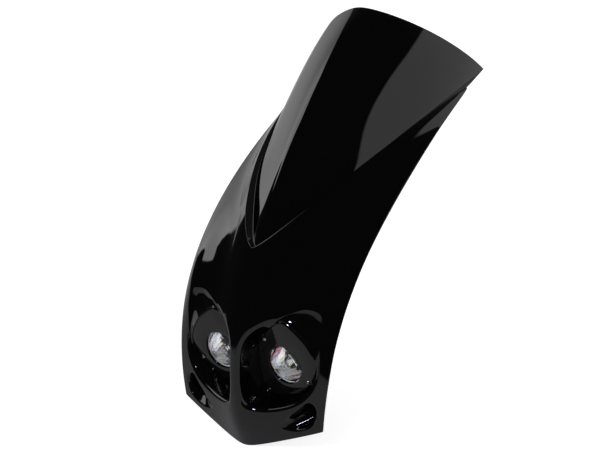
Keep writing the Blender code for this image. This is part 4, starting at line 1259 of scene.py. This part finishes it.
# Studio, as directions seen from the object: a large softbox on the left that leans over the top, a white
# wall on the right, a low board and a dark room in front, one narrow lamp high in front and a pale floor
studioSizes = {
    # rows of azimuth from the front towards +X, lower edge, upper edge (all in degrees) and glow
    "leftSoftbox": [
        (-150.0, -25.0, 0.0, 0.0), (-146.0, -25.0, 8.0, 0.08), (-133.0, -25.0, 12.0, 0.21),
        (-127.0, -25.0, 20.0, 0.36), (-120.0, -20.0, 32.0, 0.50), (-112.0, -5.0, 41.0, 0.64),
        (-105.0, 2.0, 48.0, 0.90), (-98.0, 12.0, 53.0, 1.50), (-89.0, 24.0, 57.5, 2.00),
        (-82.0, 30.5, 61.0, 2.10), (-74.0, 31.6, 62.0, 2.15), (-71.0, 34.0, 62.0, 2.20),
        (-66.0, 38.0, 62.0, 2.20), (-60.0, 50.0, 62.0, 2.20),
        (-54.0, 59.0, 62.0, 2.20), (-50.0, 60.0, 61.0, 0.0),
    ],
    "rightWall": [
        (74.0, -12.0, 48.0, 0.0), (75.5, -12.0, 48.0, 0.72), (90.0, -12.0, 48.0, 0.72),
        (103.0, -12.0, 48.6, 0.72), (118.0, -12.0, 50.0, 0.75), (150.0, -12.0, 49.0, 0.80),
        (170.0, -12.0, 49.0, 0.60), (175.0, -12.0, 49.0, 0.0),
    ],
    "frontBoard": [
        (-42.0, -6.0, 1.5, 0.0), (-30.0, -6.0, 1.5, 0.36), (0.0, -6.0, 1.5, 0.36), (8.0, -6.0, 1.5, 0.0),
    ],
    "panelSoftness": 0.8,             # degrees over which a panel's edge fades
    "ceiling": (-15.0, 50.0, 0.25, 1.5),   # elevations and glow at its ends
    "roomGlow": 0.015,
    "backGlow": 0.10,
    "backSpan": (0.2, 0.7),           # where, along Y, the room brightens behind the object
    "snootPlace": (11.0, 51.0, 1200.0),    # azimuth, elevation and distance from its target in mm
    "snootTarget": (10.0, -20.0, -40.0),
    "snootSpread": 80.0,             # radius of its pool of light on the object
    "snootRadius": 60.0,
    "snootPower": 18.0,
    "snootBlend": 0.1,
    "diffuseGlow": 0.62,             # the even light of matt surfaces
    "floorSize": 8.0,
    "floorLift": 0.72,                # share of the floor's white that the camera sees without light
}


def panelLight(tree, azimuth, elevation, rows):
    # the light of one panel whose edges run straight from row to row
    first, last = rows[0][0], rows[-1][0]
    share = addNode(tree, "ShaderNodeMapRange", {"Value": azimuth, "From Min": first, "From Max": last})
    found = []
    for column, least, most in ((1, -90.0, 90.0), (2, -90.0, 90.0), (3, 0.0, 4.0)):
        curve = addNode(tree, "ShaderNodeFloatCurve", {"Value": share.outputs["Result"]})
        points = curve.mapping.curves[0].points
        places = [((row[0] - first) / (last - first), (row[column] - least) / (most - least)) for row in rows]
        points[0].location, points[-1].location = places[0], places[-1]
        for place in places[1:-1]:
            points.new(*place)
        for point in points:
            point.handle_type = "VECTOR"
        curve.mapping.update()
        back = addNode(tree, "ShaderNodeMapRange", {"Value": curve.outputs["Value"], "To Min": least,
                                                    "To Max": most})
        found.append(back.outputs["Result"])
    low, high, glow = found
    soft = studioSizes["panelSoftness"]
    above = addNode(tree, "ShaderNodeMath", {0: elevation, 1: low}, operation="SUBTRACT")
    below = addNode(tree, "ShaderNodeMath", {0: high, 1: elevation}, operation="SUBTRACT")
    light = glow
    for gap in (above, below):
        inside = addNode(tree, "ShaderNodeMapRange", {"Value": gap.outputs[0], "From Min": -soft,
                                                      "From Max": soft}, interpolation_type="SMOOTHSTEP")
        light = addNode(tree, "ShaderNodeMath", {0: light, 1: inside.outputs["Result"]},
                        operation="MULTIPLY").outputs[0]
    return light


def buildWorld():
    sizes = studioSizes
    world = bpy.data.worlds.new("studio")
    scene.world = world
    world.use_nodes = True
    tree = world.node_tree
    tree.nodes.clear()
    place = addNode(tree, "ShaderNodeTexCoord").outputs["Generated"]
    split = addNode(tree, "ShaderNodeSeparateXYZ", {0: place})
    forward = addNode(tree, "ShaderNodeMath", {0: split.outputs["Y"], 1: -1.0}, operation="MULTIPLY")
    turn = addNode(tree, "ShaderNodeMath", {0: split.outputs["X"], 1: forward.outputs[0]},
                   operation="ARCTAN2")
    climb = addNode(tree, "ShaderNodeMath", {0: split.outputs["Z"]}, operation="ARCSINE")
    azimuth = addNode(tree, "ShaderNodeMath", {0: turn.outputs[0]}, operation="DEGREES").outputs[0]
    elevation = addNode(tree, "ShaderNodeMath", {0: climb.outputs[0]}, operation="DEGREES").outputs[0]

    start, full = sizes["backSpan"]
    total = addNode(tree, "ShaderNodeMapRange", {
        "Value": split.outputs["Y"], "From Min": start, "From Max": full,
        "To Min": sizes["roomGlow"], "To Max": sizes["backGlow"]})
    for name in ("leftSoftbox", "rightWall", "frontBoard"):
        light = panelLight(tree, azimuth, elevation, sizes[name])
        total = addNode(tree, "ShaderNodeMath", {0: total.outputs[0], 1: light}, operation="ADD")

    # gloss reflects the studio; the bowls, seen through their glasses, catch a bright ceiling; matt
    # surfaces get one even light, and the camera sees a white background
    rays = addNode(tree, "ShaderNodeLightPath")
    low, high, dim, bright = sizes["ceiling"]
    ceiling = addNode(tree, "ShaderNodeMapRange", {"Value": elevation, "From Min": low, "From Max": high,
                                                   "To Min": dim, "To Max": bright})
    total = addNode(tree, "ShaderNodeMix", {0: rays.outputs["Is Transmission Ray"], 2: total.outputs[0],
                                            3: ceiling.outputs["Result"]})
    seen = addNode(tree, "ShaderNodeMix", {0: rays.outputs["Is Diffuse Ray"], 2: total.outputs[0],
                                           3: sizes["diffuseGlow"]})
    seen = addNode(tree, "ShaderNodeMix", {0: rays.outputs["Is Camera Ray"], 2: seen.outputs[0], 3: 1.0})
    glow = addNode(tree, "ShaderNodeBackground", {"Color": (1, 1, 1, 1), "Strength": seen.outputs[0]})
    addNode(tree, "ShaderNodeOutputWorld", {"Surface": glow.outputs[0]})


def buildSnoot():
    # a narrow lamp from high in front, for the glints on the recess rims
    sizes = studioSizes
    azimuth, elevation, away = sizes["snootPlace"]
    back = skyDirection(azimuth, elevation)
    data = bpy.data.lights.new("snoot", "SPOT")
    data.energy = sizes["snootPower"]
    data.color = toLinear("#e6dcff")[:3]
    data.shadow_soft_size = sizes["snootRadius"] * mm
    data.spot_size = 2.0 * math.atan(sizes["snootSpread"] / away)
    data.spot_blend = sizes["snootBlend"]
    snoot = bpy.data.objects.new("snoot", data)
    snoot.location = Vector(fromDrawing(sizes["snootTarget"])) + back * away * mm
    snoot.rotation_euler = back.to_track_quat("Z", "Y").to_euler()
    snoot.visible_transmission = False
    scene.collection.objects.link(snoot)


def buildFloor():
    # pale floor: lit like any board, and lifted to white only for the camera, so it keeps the shadow
    sizes = studioSizes
    mesh = bpy.data.meshes.new("paleFloor")
    half = sizes["floorSize"] / 2
    corners = [(-half, -half, 0), (half, -half, 0), (half, half, 0), (-half, half, 0)]
    mesh.from_pydata(corners, [], [(0, 1, 2, 3)])
    floor = bpy.data.objects.new("paleFloor", mesh)
    scene.collection.objects.link(floor)
    made, tree, shader = newMaterial("paleFloorBoard")
    shader.inputs["Base Color"].default_value = toLinear("#d4d4d4")
    shader.inputs["Roughness"].default_value = 0.9
    shader.inputs["Emission Color"].default_value = (1, 1, 1, 1)
    rays = addNode(tree, "ShaderNodeLightPath")
    lift = addNode(tree, "ShaderNodeMath", {0: rays.outputs["Is Camera Ray"], 1: sizes["floorLift"]},
                   operation="MULTIPLY")
    tree.links.new(lift.outputs[0], shader.inputs["Emission Strength"])
    mesh.materials.append(made)


buildWorld()
buildSnoot()
buildFloor()
print("studio built")
scene.view_settings.view_transform = "Standard"
